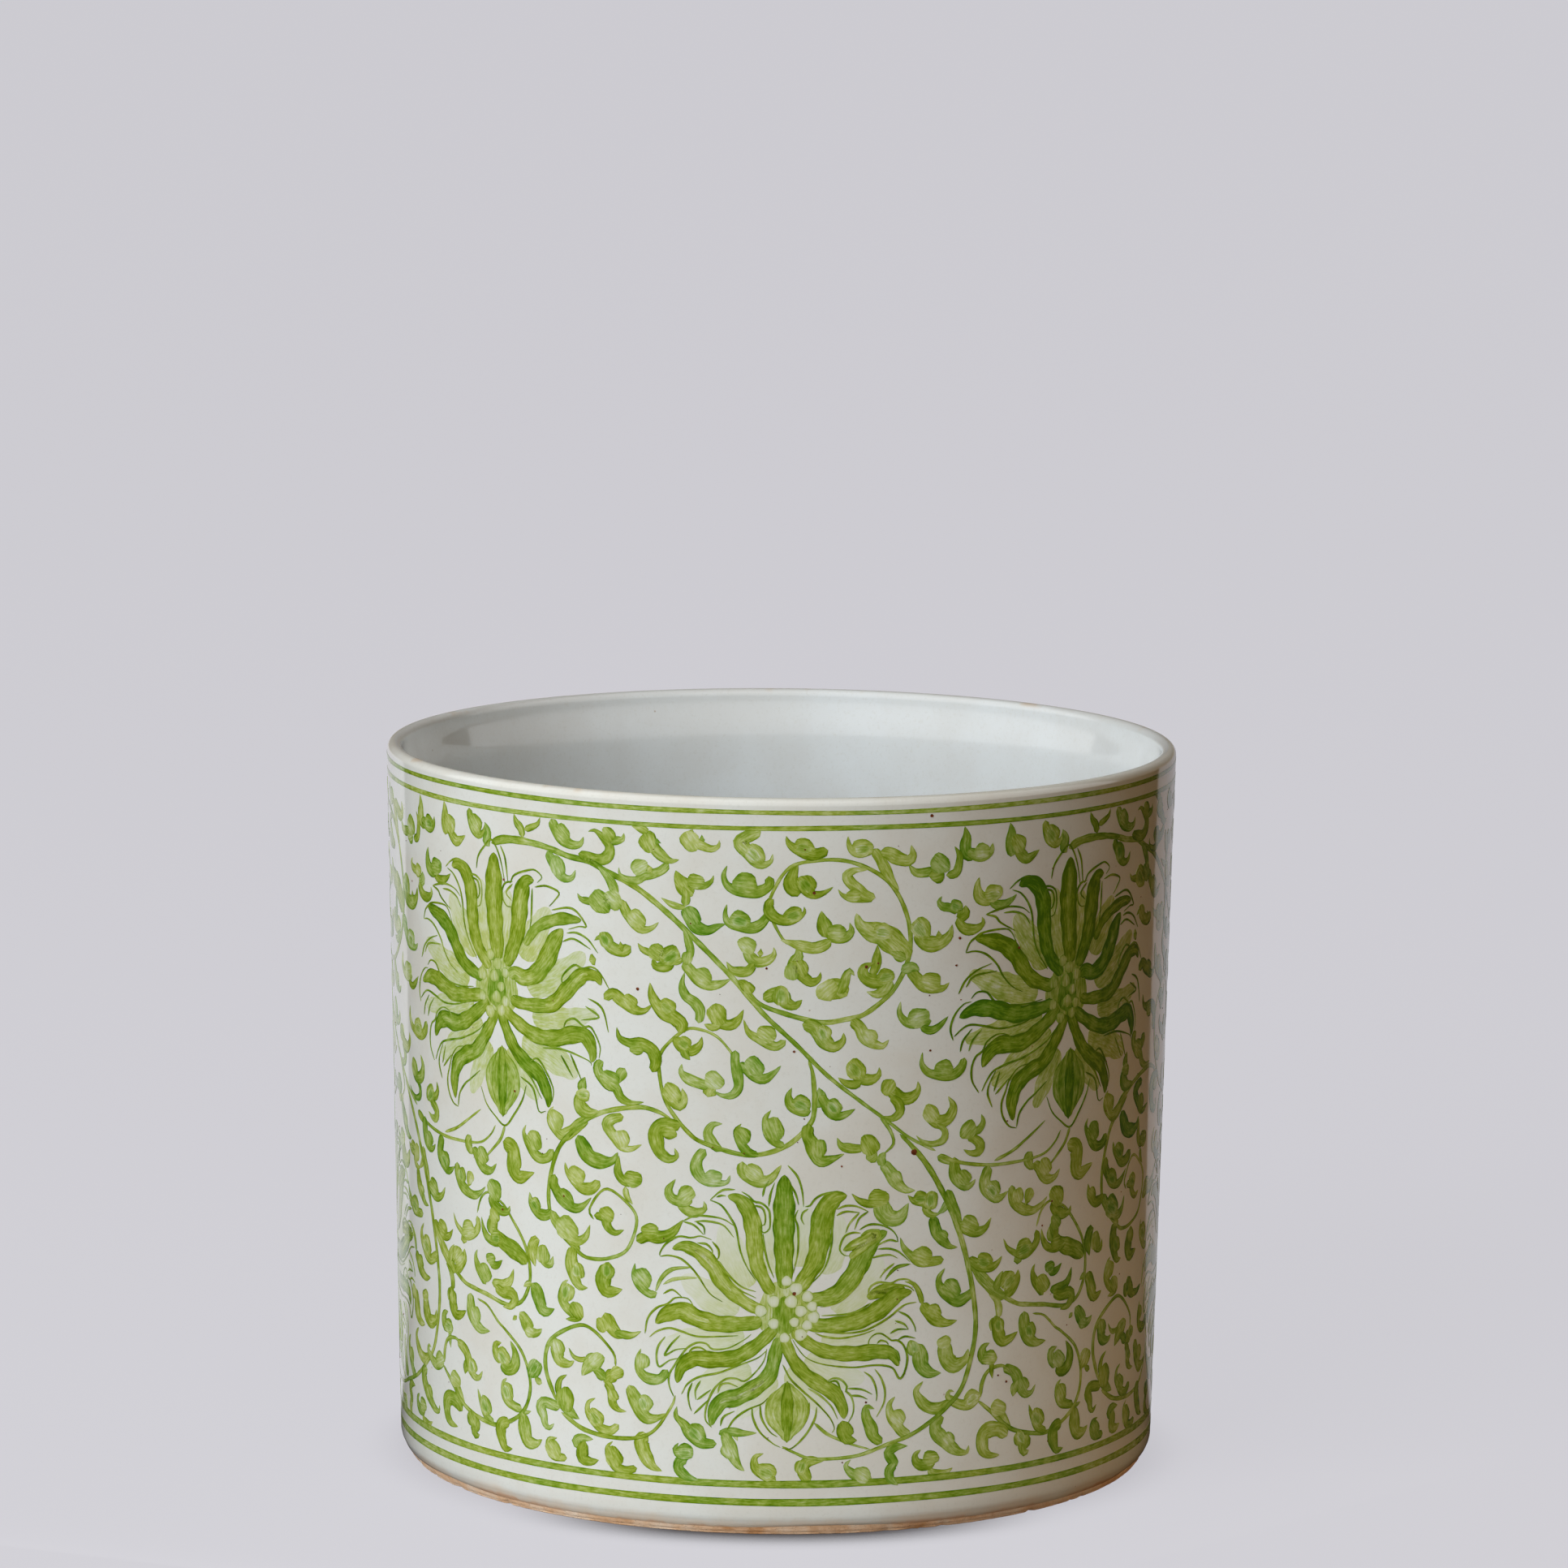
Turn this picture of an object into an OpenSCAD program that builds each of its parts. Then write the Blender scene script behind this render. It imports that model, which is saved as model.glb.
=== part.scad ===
// Brush holder pot: a wide porcelain cylinder for calligraphy brushes, thrown and luted from
// three clay parts, glazed in three coats and banded with painted lines.
// Origin: centre of the standing plane under the foot ring. +Z is up.
// Every part is a body of revolution about Z, drawn as a profile of [radius, height] points.

/* [Overall] */
// Outside diameter of the glazed wall, taken up to the crest of the lip
mouth_d = 254; // [220:1:290]
// Outside diameter of the glazed wall, taken down to the standing plane
foot_d = 244.2; // [210:0.1:280]
// Height from the standing plane to the crest of the lip
height = 232; // [180:1:280]

/* [Wall and lip] */
// Thickness of the glazed wall below the thinned lip
wall_t = 6.9; // [5.5:0.1:9]
// Thickness of the glazed lip, which is rounded over
lip_t = 4.8; // [3.6:0.1:5.4]
// How far below the crest the wall starts to thin towards the lip
thinning_h = 17; // [10:0.5:30]

/* [Base and foot] */
// Height of the foot ring, which is also the depth of the hollow under the base
foot_h = 4; // [3:0.1:5]
// Thickness of the base slab
slab_t = 8; // [6:0.5:12]
// Width of the bare face that the pot stands on
foot_w = 9; // [6:0.5:12]
// Height of the bevel turned round the bottom edge
bevel_h = 6; // [5:0.5:9]
// How far that bevel cuts in at the standing plane
bevel_in = 2.6; // [1:0.1:4]
// Height at which the outside glaze stops and the bare clay begins
bare_h = 2.6; // [1:0.1:3]

/* [Glaze] */
// Thickness of the clear glaze coats
glaze_t = 0.4; // [0.3:0.05:0.6]
// Radius of the glaze fillet between the inner wall and the floor
fillet_r = 5; // [2:0.5:10]

/* [Border lines] */
// Depth that the painted lines reach into the outside glaze
line_depth = 0.2; // [0.1:0.05:0.25]
// Height that the thick pigment of the painted lines stands proud of the glaze
line_proud = 0.12; // [0.05:0.01:0.2]
// Distance from the crest down to the upper edge of the first line
upper_line_drop = 3.4; // [2.7:0.1:5]
// Width of each painted line under the lip
upper_line_w = 1.6; // [1:0.1:2]
// Distance from the upper edge of one line under the lip to the upper edge of the next
upper_line_pitch = 4.9; // [3:0.1:8]
// Height of the lower edge of the line nearest the foot
lower_line_z = 9.8; // [9.2:0.1:12]
// Width of each painted line above the foot
lower_line_w = 2.4; // [1:0.1:3]
// Distance from the lower edge of one line above the foot to the lower edge of the next
lower_line_pitch = 5.8; // [4:0.1:8]

/* [Hidden] */
$fn = 180;

ARC_STEPS = 16;              // segments in each half of a rounded profile
CLAY = [0.93, 0.90, 0.85];
BARE_CLAY = [0.80, 0.62, 0.46];
CLEAR_GLAZE = [0.90, 0.92, 0.90];
GREEN = [0.42, 0.62, 0.22];

lip_r = lip_t / 2;
lip_z = height - lip_r;      // height of the centre of the lip's rounding
thin_z = height - thinning_h;
slab_top = foot_h + slab_t;
floor_z = slab_top + glaze_t;
glaze_edge = 0.8;            // height over which the outside glaze feathers out to the clay

// Outside radius of the straight, slightly flared wall
function straight_r(z) = (foot_d + (mouth_d - foot_d) * z / height) / 2;

// Outside radius of the glazed pot, bevel included
function outer_r(z) = straight_r(z) - bevel_in * max(0, 1 - z / bevel_h);

// Outside radius of the clay under the glaze
function clay_r(z) = outer_r(z) - glaze_t;

// Inside radius of the glazed pot below the thinned lip, and of the clay behind it
function inner_r(z) = straight_r(z) - wall_t;
function inner_clay_r(z) = inner_r(z) + glaze_t;

// Centre radius of the lip's rounding
lip_c = straight_r(lip_z) - lip_r;

// Points on an arc about [cr, cz], from angle a0 to a1 in degrees
function arc(cr, cz, r, a0, a1) =
    [for (i = [0 : ARC_STEPS]) let (a = a0 + (a1 - a0) * i / ARC_STEPS)
        [cr + r * cos(a), cz + r * sin(a)]];

module turned(points) {
    rotate_extrude() polygon(points);
}

// Thrown wall: flared outside, thinned and rounded at the lip
module wall() {
    color(CLAY) turned(concat(
        [[clay_r(foot_h), foot_h], [clay_r(bevel_h), bevel_h]],
        arc(lip_c, lip_z, lip_r - glaze_t, 0, 90),
        arc(lip_c, lip_z, lip_r - glaze_t, 90, 180),
        [[inner_clay_r(thin_z), thin_z], [inner_clay_r(foot_h), foot_h]]));
}

// Flat slab luted inside the bottom of the wall
module base_slab() {
    color(CLAY) turned([
        [0, foot_h], [inner_clay_r(foot_h), foot_h],
        [inner_clay_r(slab_top), slab_top], [0, slab_top]]);
}

// Bare ring that the pot stands on, under the wall and the edge of the slab
module foot_ring() {
    foot_out = clay_r(0);
    color(BARE_CLAY) turned([
        [foot_out - foot_w, 0], [foot_out, 0],
        [clay_r(foot_h), foot_h], [foot_out - foot_w, foot_h]]);
}

// Profile of one painted line, as wide as w, with its lower edge at height z
module line_profile(z, w) {
    polygon([
        [outer_r(z) - line_depth, z], [outer_r(z) + line_proud, z],
        [outer_r(z + w) + line_proud, z + w], [outer_r(z + w) - line_depth, z + w]]);
}

module upper_line_profiles() {
    for (i = [0, 1])
        line_profile(height - upper_line_drop - upper_line_w - i * upper_line_pitch,
                     upper_line_w);
}

module lower_line_profiles() {
    for (i = [0, 1])
        line_profile(lower_line_z + i * lower_line_pitch, lower_line_w);
}

// Clear coat from the bare edge at the foot, up the outside and over to the crest of the lip
module outer_glaze() {
    color(CLEAR_GLAZE) rotate_extrude() difference() {
        polygon(concat(
            [[clay_r(bare_h), bare_h], [outer_r(bare_h + glaze_edge), bare_h + glaze_edge],
             [outer_r(bevel_h), bevel_h]],
            arc(lip_c, lip_z, lip_r, 0, 90),
            arc(lip_c, lip_z, lip_r - glaze_t, 90, 0),
            [[clay_r(bevel_h), bevel_h]]));
        upper_line_profiles();
        lower_line_profiles();
    }
}

// Clear coat from the crest of the lip, down the inside and across the floor
module inner_glaze() {
    fillet_c = inner_r(floor_z + fillet_r) - fillet_r;
    color(CLEAR_GLAZE) turned(concat(
        arc(lip_c, lip_z, lip_r - glaze_t, 90, 180),
        [[inner_clay_r(thin_z), thin_z], [inner_clay_r(slab_top), slab_top],
         [0, slab_top], [0, floor_z]],
        arc(fillet_c, floor_z + fillet_r, fillet_r, -90, 0),
        [[inner_r(thin_z), thin_z]],
        arc(lip_c, lip_z, lip_r, 180, 90)));
}

// Clear coat on the underside of the slab, inside the foot ring
module base_glaze() {
    coat_r = clay_r(0) - foot_w;
    color(CLEAR_GLAZE) turned([
        [0, foot_h - glaze_t], [coat_r, foot_h - glaze_t], [coat_r, foot_h], [0, foot_h]]);
}

// Two painted lines under the lip
module upper_border_lines() {
    color(GREEN) rotate_extrude() upper_line_profiles();
}

// Two painted lines above the foot
module lower_border_lines() {
    color(GREEN) rotate_extrude() lower_line_profiles();
}

wall();
base_slab();
foot_ring();
outer_glaze();
inner_glaze();
base_glaze();
upper_border_lines();
lower_border_lines();
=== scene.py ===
import math
import random

import bpy
import numpy as np
from mathutils import Matrix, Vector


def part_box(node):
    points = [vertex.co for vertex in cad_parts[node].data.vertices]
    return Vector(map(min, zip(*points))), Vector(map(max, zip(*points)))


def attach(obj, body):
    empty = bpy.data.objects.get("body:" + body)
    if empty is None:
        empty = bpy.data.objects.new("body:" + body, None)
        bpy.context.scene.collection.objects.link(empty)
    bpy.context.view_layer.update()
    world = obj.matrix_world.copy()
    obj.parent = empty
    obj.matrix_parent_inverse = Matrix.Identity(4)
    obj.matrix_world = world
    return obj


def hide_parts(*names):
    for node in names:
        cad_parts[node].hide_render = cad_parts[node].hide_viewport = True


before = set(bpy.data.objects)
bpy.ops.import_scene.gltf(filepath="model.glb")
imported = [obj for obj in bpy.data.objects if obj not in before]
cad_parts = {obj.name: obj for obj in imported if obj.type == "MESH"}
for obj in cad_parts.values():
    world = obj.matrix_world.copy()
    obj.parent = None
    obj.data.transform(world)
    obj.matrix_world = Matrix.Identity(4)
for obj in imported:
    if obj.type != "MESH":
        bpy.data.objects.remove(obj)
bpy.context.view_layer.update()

# Every size below is in metres, except in the painting, which is drawn in millimetres on the
# unrolled wall: s runs round the wall from its front towards +X, and z is the height.
MM = 0.001
SEGMENTS = 360                     # steps round a turned body
PAINT_RADIUS = 125.0               # radius in mm at which s is measured
REPEATS = 4                        # times the scroll pattern repeats round the pot
REPEAT_S = 2 * math.pi * PAINT_RADIUS / REPEATS
random.seed(7)


# ---------------------------------------------------------------- camera and stage

def make_camera():
    """Camera at the viewing angle of the picture that the pot is made after."""
    data = bpy.data.cameras.new("camera")
    data.lens = 161.31
    data.sensor_width = 36
    camera = bpy.data.objects.new("camera", data)
    bpy.context.scene.collection.objects.link(camera)
    pitch_down = math.radians(8.496)
    yaw = -0.00039
    roll = 0.0087
    place = (0, -2.2404, 0.5524)
    camera.matrix_world = (
        Matrix.Translation(place)
        @ Matrix.Rotation(yaw, 4, "Z")
        @ Matrix.Rotation(math.pi / 2 - pitch_down, 4, "X")
        @ Matrix.Rotation(roll, 4, "Z")
    )
    bpy.context.scene.camera = camera


make_camera()


class Shader:
    """A Principled material, with short calls that add nodes and join them."""

    def __init__(self, name, **values):
        self.material = bpy.data.materials.new(name)
        self.material.use_nodes = True
        self.tree = self.material.node_tree
        self.surface = self.tree.nodes["Principled BSDF"]
        for socket, value in values.items():
            self.surface.inputs[socket.replace("_", " ")].default_value = value

    def node(self, kind, inputs=(), **settings):
        """Adds a node. inputs gives (socket, value or output to join) pairs."""
        made = self.tree.nodes.new("ShaderNode" + kind)
        for key, value in settings.items():
            setattr(made, key, value)
        for socket, value in dict(inputs).items():
            if isinstance(value, bpy.types.NodeSocket):
                self.tree.links.new(value, made.inputs[socket])
            else:
                made.inputs[socket].default_value = value
        return made

    def math(self, operation, first, second=0.0, clamp=False):
        return self.node("Math", {0: first, 1: second}, operation=operation,
                         use_clamp=clamp).outputs[0]

    def remap(self, value, low, high, to_low=0.0, to_high=1.0):
        return self.node("MapRange", {0: value, 1: low, 2: high, 3: to_low, 4: to_high},
                         interpolation_type="SMOOTHSTEP").outputs[0]

    def mix(self, factor, first, second, blend="MIX"):
        return self.node("Mix", {0: factor, 6: first, 7: second}, data_type="RGBA",
                         blend_type=blend).outputs[2]

    def noise(self, vector, scale, detail=2.0, roughness=0.5):
        return self.node("TexNoise", {"Vector": vector, "Scale": scale, "Detail": detail,
                                      "Roughness": roughness}).outputs["Fac"]

    def ramp(self, value, stops):
        made = self.node("ValToRGB", {0: value})
        elements = made.color_ramp.elements
        while len(elements) < len(stops):
            elements.new(0.5)
        for element, (position, color) in zip(elements, stops):
            element.position = position
            element.color = color
        return made.outputs[0]

    def place(self):
        """Object coordinates: every piece sits at the origin, so these are metres."""
        return self.node("TexCoord").outputs["Object"]

    def height(self):
        return self.node("SeparateXYZ", {0: self.place()}).outputs["Z"]

    def bump(self, value, distance, strength=1.0):
        made = self.node("Bump", {"Height": value, "Distance": distance,
                                  "Strength": strength})
        self.join(made.outputs[0], "Normal")

    def join(self, output, socket):
        self.tree.links.new(output, self.surface.inputs[socket])


def rgb(red, green, blue):
    """Linear colour, with alpha, from 8-bit sRGB values."""
    linear = []
    for value in (red, green, blue):
        share = value / 255
        linear.append(share / 12.92 if share < 0.04045 else ((share + 0.055) / 1.055) ** 2.4)
    return (*linear, 1.0)


def area_light(name, azimuth, elevation, distance, size, power, color=(1, 1, 1),
               mirrored=False):
    """A soft panel that faces the middle of the pot. Azimuth runs from the front to +X."""
    data = bpy.data.lights.new(name, "AREA")
    data.shape = "RECTANGLE"
    data.size, data.size_y = size
    data.energy = power
    data.color = color
    light = bpy.data.objects.new(name, data)
    bpy.context.scene.collection.objects.link(light)
    turn = Matrix.Rotation(math.radians(azimuth), 4, "Z")
    tilt = Matrix.Rotation(math.radians(90 - elevation), 4, "X")
    aim = Matrix.Translation((0, 0, 0.12))
    light.matrix_world = aim @ turn @ tilt @ Matrix.Translation((0, 0, distance))
    light.visible_camera = False
    light.visible_glossy = mirrored
    return light


def spare(light, thing):
    """Keep a light off one object."""
    spared = bpy.data.collections.new("spared_by_" + light.name)
    spared.objects.link(thing)
    spared.collection_objects[0].light_linking.link_state = "EXCLUDE"
    light.light_linking.receiver_collection = spared


def make_world():
    """Dim warm room low down and softer light overhead, where the glaze mirrors a panel."""
    world = bpy.data.worlds.new("studio")
    bpy.context.scene.world = world
    world.use_nodes = True
    tree = world.node_tree
    background = tree.nodes["Background"]
    coordinate = tree.nodes.new("ShaderNodeTexCoord")
    split = tree.nodes.new("ShaderNodeSeparateXYZ")
    tree.links.new(coordinate.outputs["Generated"], split.inputs[0])
    dim = ((0.25, (0.055, 0.037, 0.015, 1)), (0.62, (0.26, 0.22, 0.16, 1)))
    overhead = ((0.38, (0.125, 0.085, 0.032, 1)), (0.46, (0.06, 0.042, 0.018, 1)))
    panel = ((0.395, (1.15, 1.15, 1.15, 1)), (0.42, (0.16, 0.14, 0.12, 1)))
    ramps = []
    for stops in (dim, overhead, panel):
        ramp = tree.nodes.new("ShaderNodeValToRGB")
        tree.links.new(split.outputs["Y"], ramp.inputs[0])
        for element, (position, color) in zip(ramp.color_ramp.elements, stops):
            element.position = position
            element.color = color
        ramps.append(ramp.outputs[0])
    rise = tree.nodes.new("ShaderNodeMapRange")
    rise.inputs[1].default_value = 0.02
    rise.inputs[2].default_value = 0.08
    tree.links.new(split.outputs["Z"], rise.inputs[0])
    rays = tree.nodes.new("ShaderNodeLightPath")

    def mix(factor, first, second):
        made = tree.nodes.new("ShaderNodeMix")
        made.data_type = "RGBA"
        for socket, output in ((0, factor), (6, first), (7, second)):
            tree.links.new(output, made.inputs[socket])
        return made.outputs[2]

    above = mix(rays.outputs["Is Glossy Ray"], ramps[1], ramps[2])
    tree.links.new(mix(rise.outputs[0], ramps[0], above), background.inputs["Color"])


def make_floor():
    """Plain pale floor that glows evenly, with a painted contact shadow where the pot touches it,
    strongest in front and behind and faint at the sides. Behind the pot it also glows for mirror
    rays only, lighting the mirror image at the glaze's edges as a bright backdrop does, less so
    on the right."""
    mesh = bpy.data.meshes.new("floor")
    reach = 40.0
    corners = [(-reach, -reach, 0), (reach, -reach, 0), (reach, reach, 0), (-reach, reach, 0)]
    mesh.from_pydata(corners, [], [(0, 1, 2, 3)])
    floor = bpy.data.objects.new("floor", mesh)
    bpy.context.scene.collection.objects.link(floor)
    shader = Shader("floor_paper", Roughness=0.9, Base_Color=(0.07, 0.07, 0.073, 1))
    shader.surface.inputs["Specular IOR Level"].default_value = 0.0
    # Painted contact shadow: ambient occlusion near the pot dims the floor's glow.
    contact_occlusion = shader.node("AmbientOcclusion", {"Distance": 0.018}, samples=8).outputs["AO"]
    split = shader.node("SeparateXYZ", {0: shader.place()})
    side = shader.math("MULTIPLY", shader.math("ABSOLUTE", split.outputs["X"]), 1.25)
    ahead = shader.math("SUBTRACT", side, shader.math("ABSOLUTE", split.outputs["Y"]))
    # Depth of the painted contact shadow, strongest in front of and behind the pot.
    dark = shader.math("MULTIPLY", shader.remap(contact_occlusion, 0.32, 1.0, 0.90, 0.0),
                       shader.remap(ahead, -0.09, 0.03, 1.0, 0.12))
    shade = shader.math("SUBTRACT", 1.0, dark)
    behind = shader.remap(shader.math("SUBTRACT", split.outputs["Y"], side), -0.130, -0.105)
    rays = shader.node("LightPath")
    dusk = shader.math("MULTIPLY", behind, shader.remap(split.outputs["X"], 0.0, 0.15, 1, 0.58))
    mirrored = shader.math("MULTIPLY", rays.outputs["Is Glossy Ray"], dusk)
    seen = shader.math("MAXIMUM", rays.outputs["Is Camera Ray"], mirrored)
    strength = shader.math("MULTIPLY", shade, seen)
    shader.join(strength, "Emission Strength")
    shader.surface.inputs["Emission Color"].default_value = (0.600, 0.593, 0.636, 1)
    mesh.materials.append(shader.material)
    return floor


# ---------------------------------------------------------------- shape of the pot

def radii(node, z, reach=0.1 * MM):
    """Radii of the points of a CAD node that lie within reach of a height."""
    return [math.hypot(point.co.x, point.co.y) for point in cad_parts[node].data.vertices
            if z - reach <= point.co.z <= z + reach]


GLAZE_T = 0.4 * MM                 # the CAD glaze
COAT_T = 0.38 * MM                 # the glaze made here, before the thrown wall's wander
WALL_T = 6.9 * MM                  # glazed wall below the thinned lip
LIP_R = 2.4 * MM                   # rounding of the lip
BEVEL_Z = 6.0 * MM                 # height of the bevel at the foot
BEVEL_IN = 2.6 * MM                # how far it cuts in at the bottom
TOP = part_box("outer_glaze")[1].z
LIP_Z = TOP - LIP_R
THIN_Z = TOP - 17.0 * MM           # where the wall starts to thin towards the lip
BARE_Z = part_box("outer_glaze")[0].z
SLAB_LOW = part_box("base_slab")[0].z
FLOOR_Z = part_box("base_slab")[1].z + GLAZE_T
FOOT_OUT = max(radii("foot_ring", 0, MM))
FOOT_IN = min(radii("foot_ring", 0, MM))
BEVEL_R = max(radii("outer_glaze", BEVEL_Z))
FLARE = (max(radii("outer_glaze", LIP_Z)) - BEVEL_R) / (LIP_Z - BEVEL_Z)


def straight_r(z):
    """Outside radius of the flared wall at a height."""
    return BEVEL_R + FLARE * (z - BEVEL_Z)


def outer_r(z):
    """Outside radius of the glaze, with the bevel at the foot."""
    return straight_r(z) - BEVEL_IN * np.maximum(0, 1 - z / BEVEL_Z)


def hand(theta, z):
    """How far the thrown wall wanders from a true circle: up to 0.17 mm, mostly inwards."""
    slow = 0.055 * np.sin(2 * theta + 0.7) * np.sin(z * 17) + 0.03 * np.sin(3 * theta - z * 30)
    rings = 0.016 * np.sin(z * 560 + 1.5 * np.sin(theta)) + 0.012 * np.sin(z * 890 - theta)
    return (slow + rings - 0.05) * MM


def arc(center_r, center_z, radius, start, end, steps):
    """Points [radius, height] on an arc, with its angles in degrees."""
    angles = np.radians(np.linspace(start, end, steps + 1))
    return [(center_r + radius * math.cos(a), center_z + radius * math.sin(a)) for a in angles]


def link_object(name, mesh, material):
    """Puts a mesh in the scene as a piece that rides the pot."""
    made = bpy.data.objects.new(name, mesh)
    bpy.context.scene.collection.objects.link(made)
    mesh.materials.append(material)
    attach(made, "root")
    return made


def lathe(name, profile, wander, material, sharp=35, segments=SEGMENTS):
    """A closed body of revolution. A profile point on the axis becomes one pole vertex."""
    vertices = []
    rings = []
    theta = np.arange(segments) * 2 * math.pi / segments
    for radius, z in profile:
        if radius < 1e-6:
            rings.append([len(vertices)] * segments)
            vertices.append((0, 0, z))
            continue
        rings.append(list(range(len(vertices), len(vertices) + segments)))
        moved_r, moved_z = wander(theta, np.full(segments, radius), np.full(segments, z))
        vertices += zip(moved_r * np.sin(theta), -moved_r * np.cos(theta), moved_z)
    faces = []
    for below, above in zip(rings, rings[1:] + rings[:1]):
        for i in range(segments):
            j = (i + 1) % segments
            corner = [below[i], below[j], above[j], above[i]]
            corner = [v for n, v in enumerate(corner) if v != corner[n - 1]]
            if len(corner) > 2:
                faces.append(corner)
    mesh = bpy.data.meshes.new(name)
    mesh.from_pydata(vertices, [], faces)
    mesh.shade_smooth()
    mesh.set_sharp_from_angle(angle=math.radians(sharp))
    return link_object(name, mesh, material)


def make_outer_coat(material):
    """Clear glaze on the outside, from the bare foot over to the crest of the lip."""
    def wander(theta, radius, z):
        fade = np.clip((z - BARE_Z) / (6 * MM), 0, 1)
        drip = 0.25 * MM * np.sin(5 * theta + 1) + 0.18 * MM * np.sin(11 * theta)
        edge = np.clip(1 - (z - BARE_Z) / (1.5 * MM), 0, 1)
        return radius + hand(theta, z) * fade, z + np.maximum(drip, -0.1 * MM) * edge

    feather = BARE_Z + 0.8 * MM
    outside = [(outer_r(BARE_Z) - 0.34 * MM, BARE_Z), (outer_r(feather), feather)]
    outside += [(outer_r(z), z) for z in np.linspace(4.2 * MM, BEVEL_Z - 0.6 * MM, 4)]
    outside += [(outer_r(z), z) for z in np.linspace(BEVEL_Z + 0.6 * MM, LIP_Z - MM, 84)]
    center = straight_r(LIP_Z) - LIP_R
    outside += arc(center, LIP_Z, LIP_R, 0, 90, 14)
    inside = arc(center, LIP_Z, LIP_R - COAT_T, 90, 0, 6)
    inside += [(outer_r(z) - COAT_T, z) for z in np.linspace(LIP_Z - 10 * MM, BEVEL_Z, 12)]
    coat = lathe("outer_glaze_coat", outside + inside, wander, material)
    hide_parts("outer_glaze")


def make_inner_coat(material):
    """Clear glaze on the inside, from the crest of the lip down and across the floor."""
    def wander(theta, radius, z):
        rise = np.clip((z - FLOOR_Z) / (20 * MM), 0, 1)
        spiral = np.sin(radius * 420 + theta) * (1 - rise) * np.clip(radius / 0.02, 0, 1)
        return radius + hand(theta, z) * rise * 1.4, z + 0.05 * MM * spiral * (z > FLOOR_Z - MM)

    def inner_r(z):
        return straight_r(z) - WALL_T

    center = straight_r(LIP_Z) - LIP_R
    fillet = 5 * MM
    fillet_c = inner_r(FLOOR_Z + fillet) - fillet
    seen = arc(center, LIP_Z, LIP_R, 90, 180, 14)
    lip_in = center - LIP_R
    thin_in = inner_r(THIN_Z)
    steps = 12
    for step in range(1, steps):
        share = step / steps
        ease = share * share * (3 - 2 * share)
        seen.append((lip_in + (thin_in - lip_in) * ease, LIP_Z + (THIN_Z - LIP_Z) * share))
    seen += [(inner_r(z), z) for z in np.linspace(THIN_Z, FLOOR_Z + fillet + MM, 70)]
    seen += arc(fillet_c, FLOOR_Z + fillet, fillet, 0, -90, 10)
    seen += [(r, FLOOR_Z) for r in np.linspace(fillet_c - 3 * MM, 3 * MM, 26)] + [(0, FLOOR_Z)]
    under = FLOOR_Z - COAT_T
    hidden = [(0, under), (fillet_c, under), (inner_r(under) + COAT_T, under)]
    hidden += [(inner_r(z) + COAT_T, z) for z in np.linspace(30 * MM, THIN_Z - MM, 8)]
    hidden += arc(center, LIP_Z, LIP_R - COAT_T, 180, 90, 6)
    coat = lathe("inner_glaze_coat", seen + hidden, wander, material)
    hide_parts("inner_glaze")


def make_base_coat(material):
    """Clear glaze on the underside of the slab, inside the foot ring."""
    def wander(theta, radius, z):
        under = z < SLAB_LOW - 0.2 * MM
        return radius, z + under * 0.05 * MM * np.sin(radius * 500 + 2 * theta)

    reach = FOOT_IN - 0.05 * MM
    low = SLAB_LOW - GLAZE_T + 0.06 * MM
    profile = [(0, low)] + [(r, low) for r in np.linspace(4 * MM, reach, 22)]
    profile += [(reach, SLAB_LOW), (0, SLAB_LOW)]
    coat = lathe("base_glaze_coat", profile, wander, material, segments=180)
    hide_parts("base_glaze")


def make_foot(material):
    """Bare ring of rough clay that the pot stands on, worn and chipped at its edges."""
    chips = [(random.uniform(0, 2 * math.pi), random.uniform(0.01, 0.035),
              random.uniform(0.3, 0.9) * MM) for _ in range(26)]

    def wander(theta, radius, z):
        grain = 0.05 * MM * (np.sin(theta * 61 + z * 4000) + np.sin(theta * 113 - radius * 900))
        rough = np.where(z < 3 * MM, grain, 0)
        bite = np.zeros_like(theta)
        for place, width, depth in chips:
            apart = np.abs((theta - place + math.pi) % (2 * math.pi) - math.pi)
            bite += depth * np.clip(1 - apart / width, 0, 1) ** 1.5
        low = np.clip(1 - z / (2.2 * MM), 0, 1)
        outside = np.clip((radius - FOOT_OUT + 3 * MM) / (3 * MM), 0, 1)
        inward = (np.abs(rough) + bite * low) * outside
        lift = np.clip(bite * low * outside * 0.5 + np.abs(rough) * 0.4 * (z < MM), 0, None)
        return radius - inward, z + lift

    top = SLAB_LOW
    widening = max(radii("foot_ring", top)) - FOOT_OUT
    worn = 0.7 * MM
    profile = arc(FOOT_OUT - worn, worn, worn, -90, 0, 5)
    profile += [(FOOT_OUT + widening * share, top * share) for share in (0.3, 0.45, 0.6, 0.8, 1)]
    profile += [(FOOT_IN, top), (FOOT_IN, 0.6 * top), (FOOT_IN, 0.9 * MM)]
    profile += [(FOOT_IN + worn, 0.1 * MM)]
    profile += [(r, 0.0) for r in np.linspace(FOOT_IN + 1.5 * MM, FOOT_OUT - 1.4 * MM, 6)]
    foot = lathe("foot_ring_clay", profile, wander, material, segments=720)
    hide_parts("foot_ring")


# ---------------------------------------------------------------- materials

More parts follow.
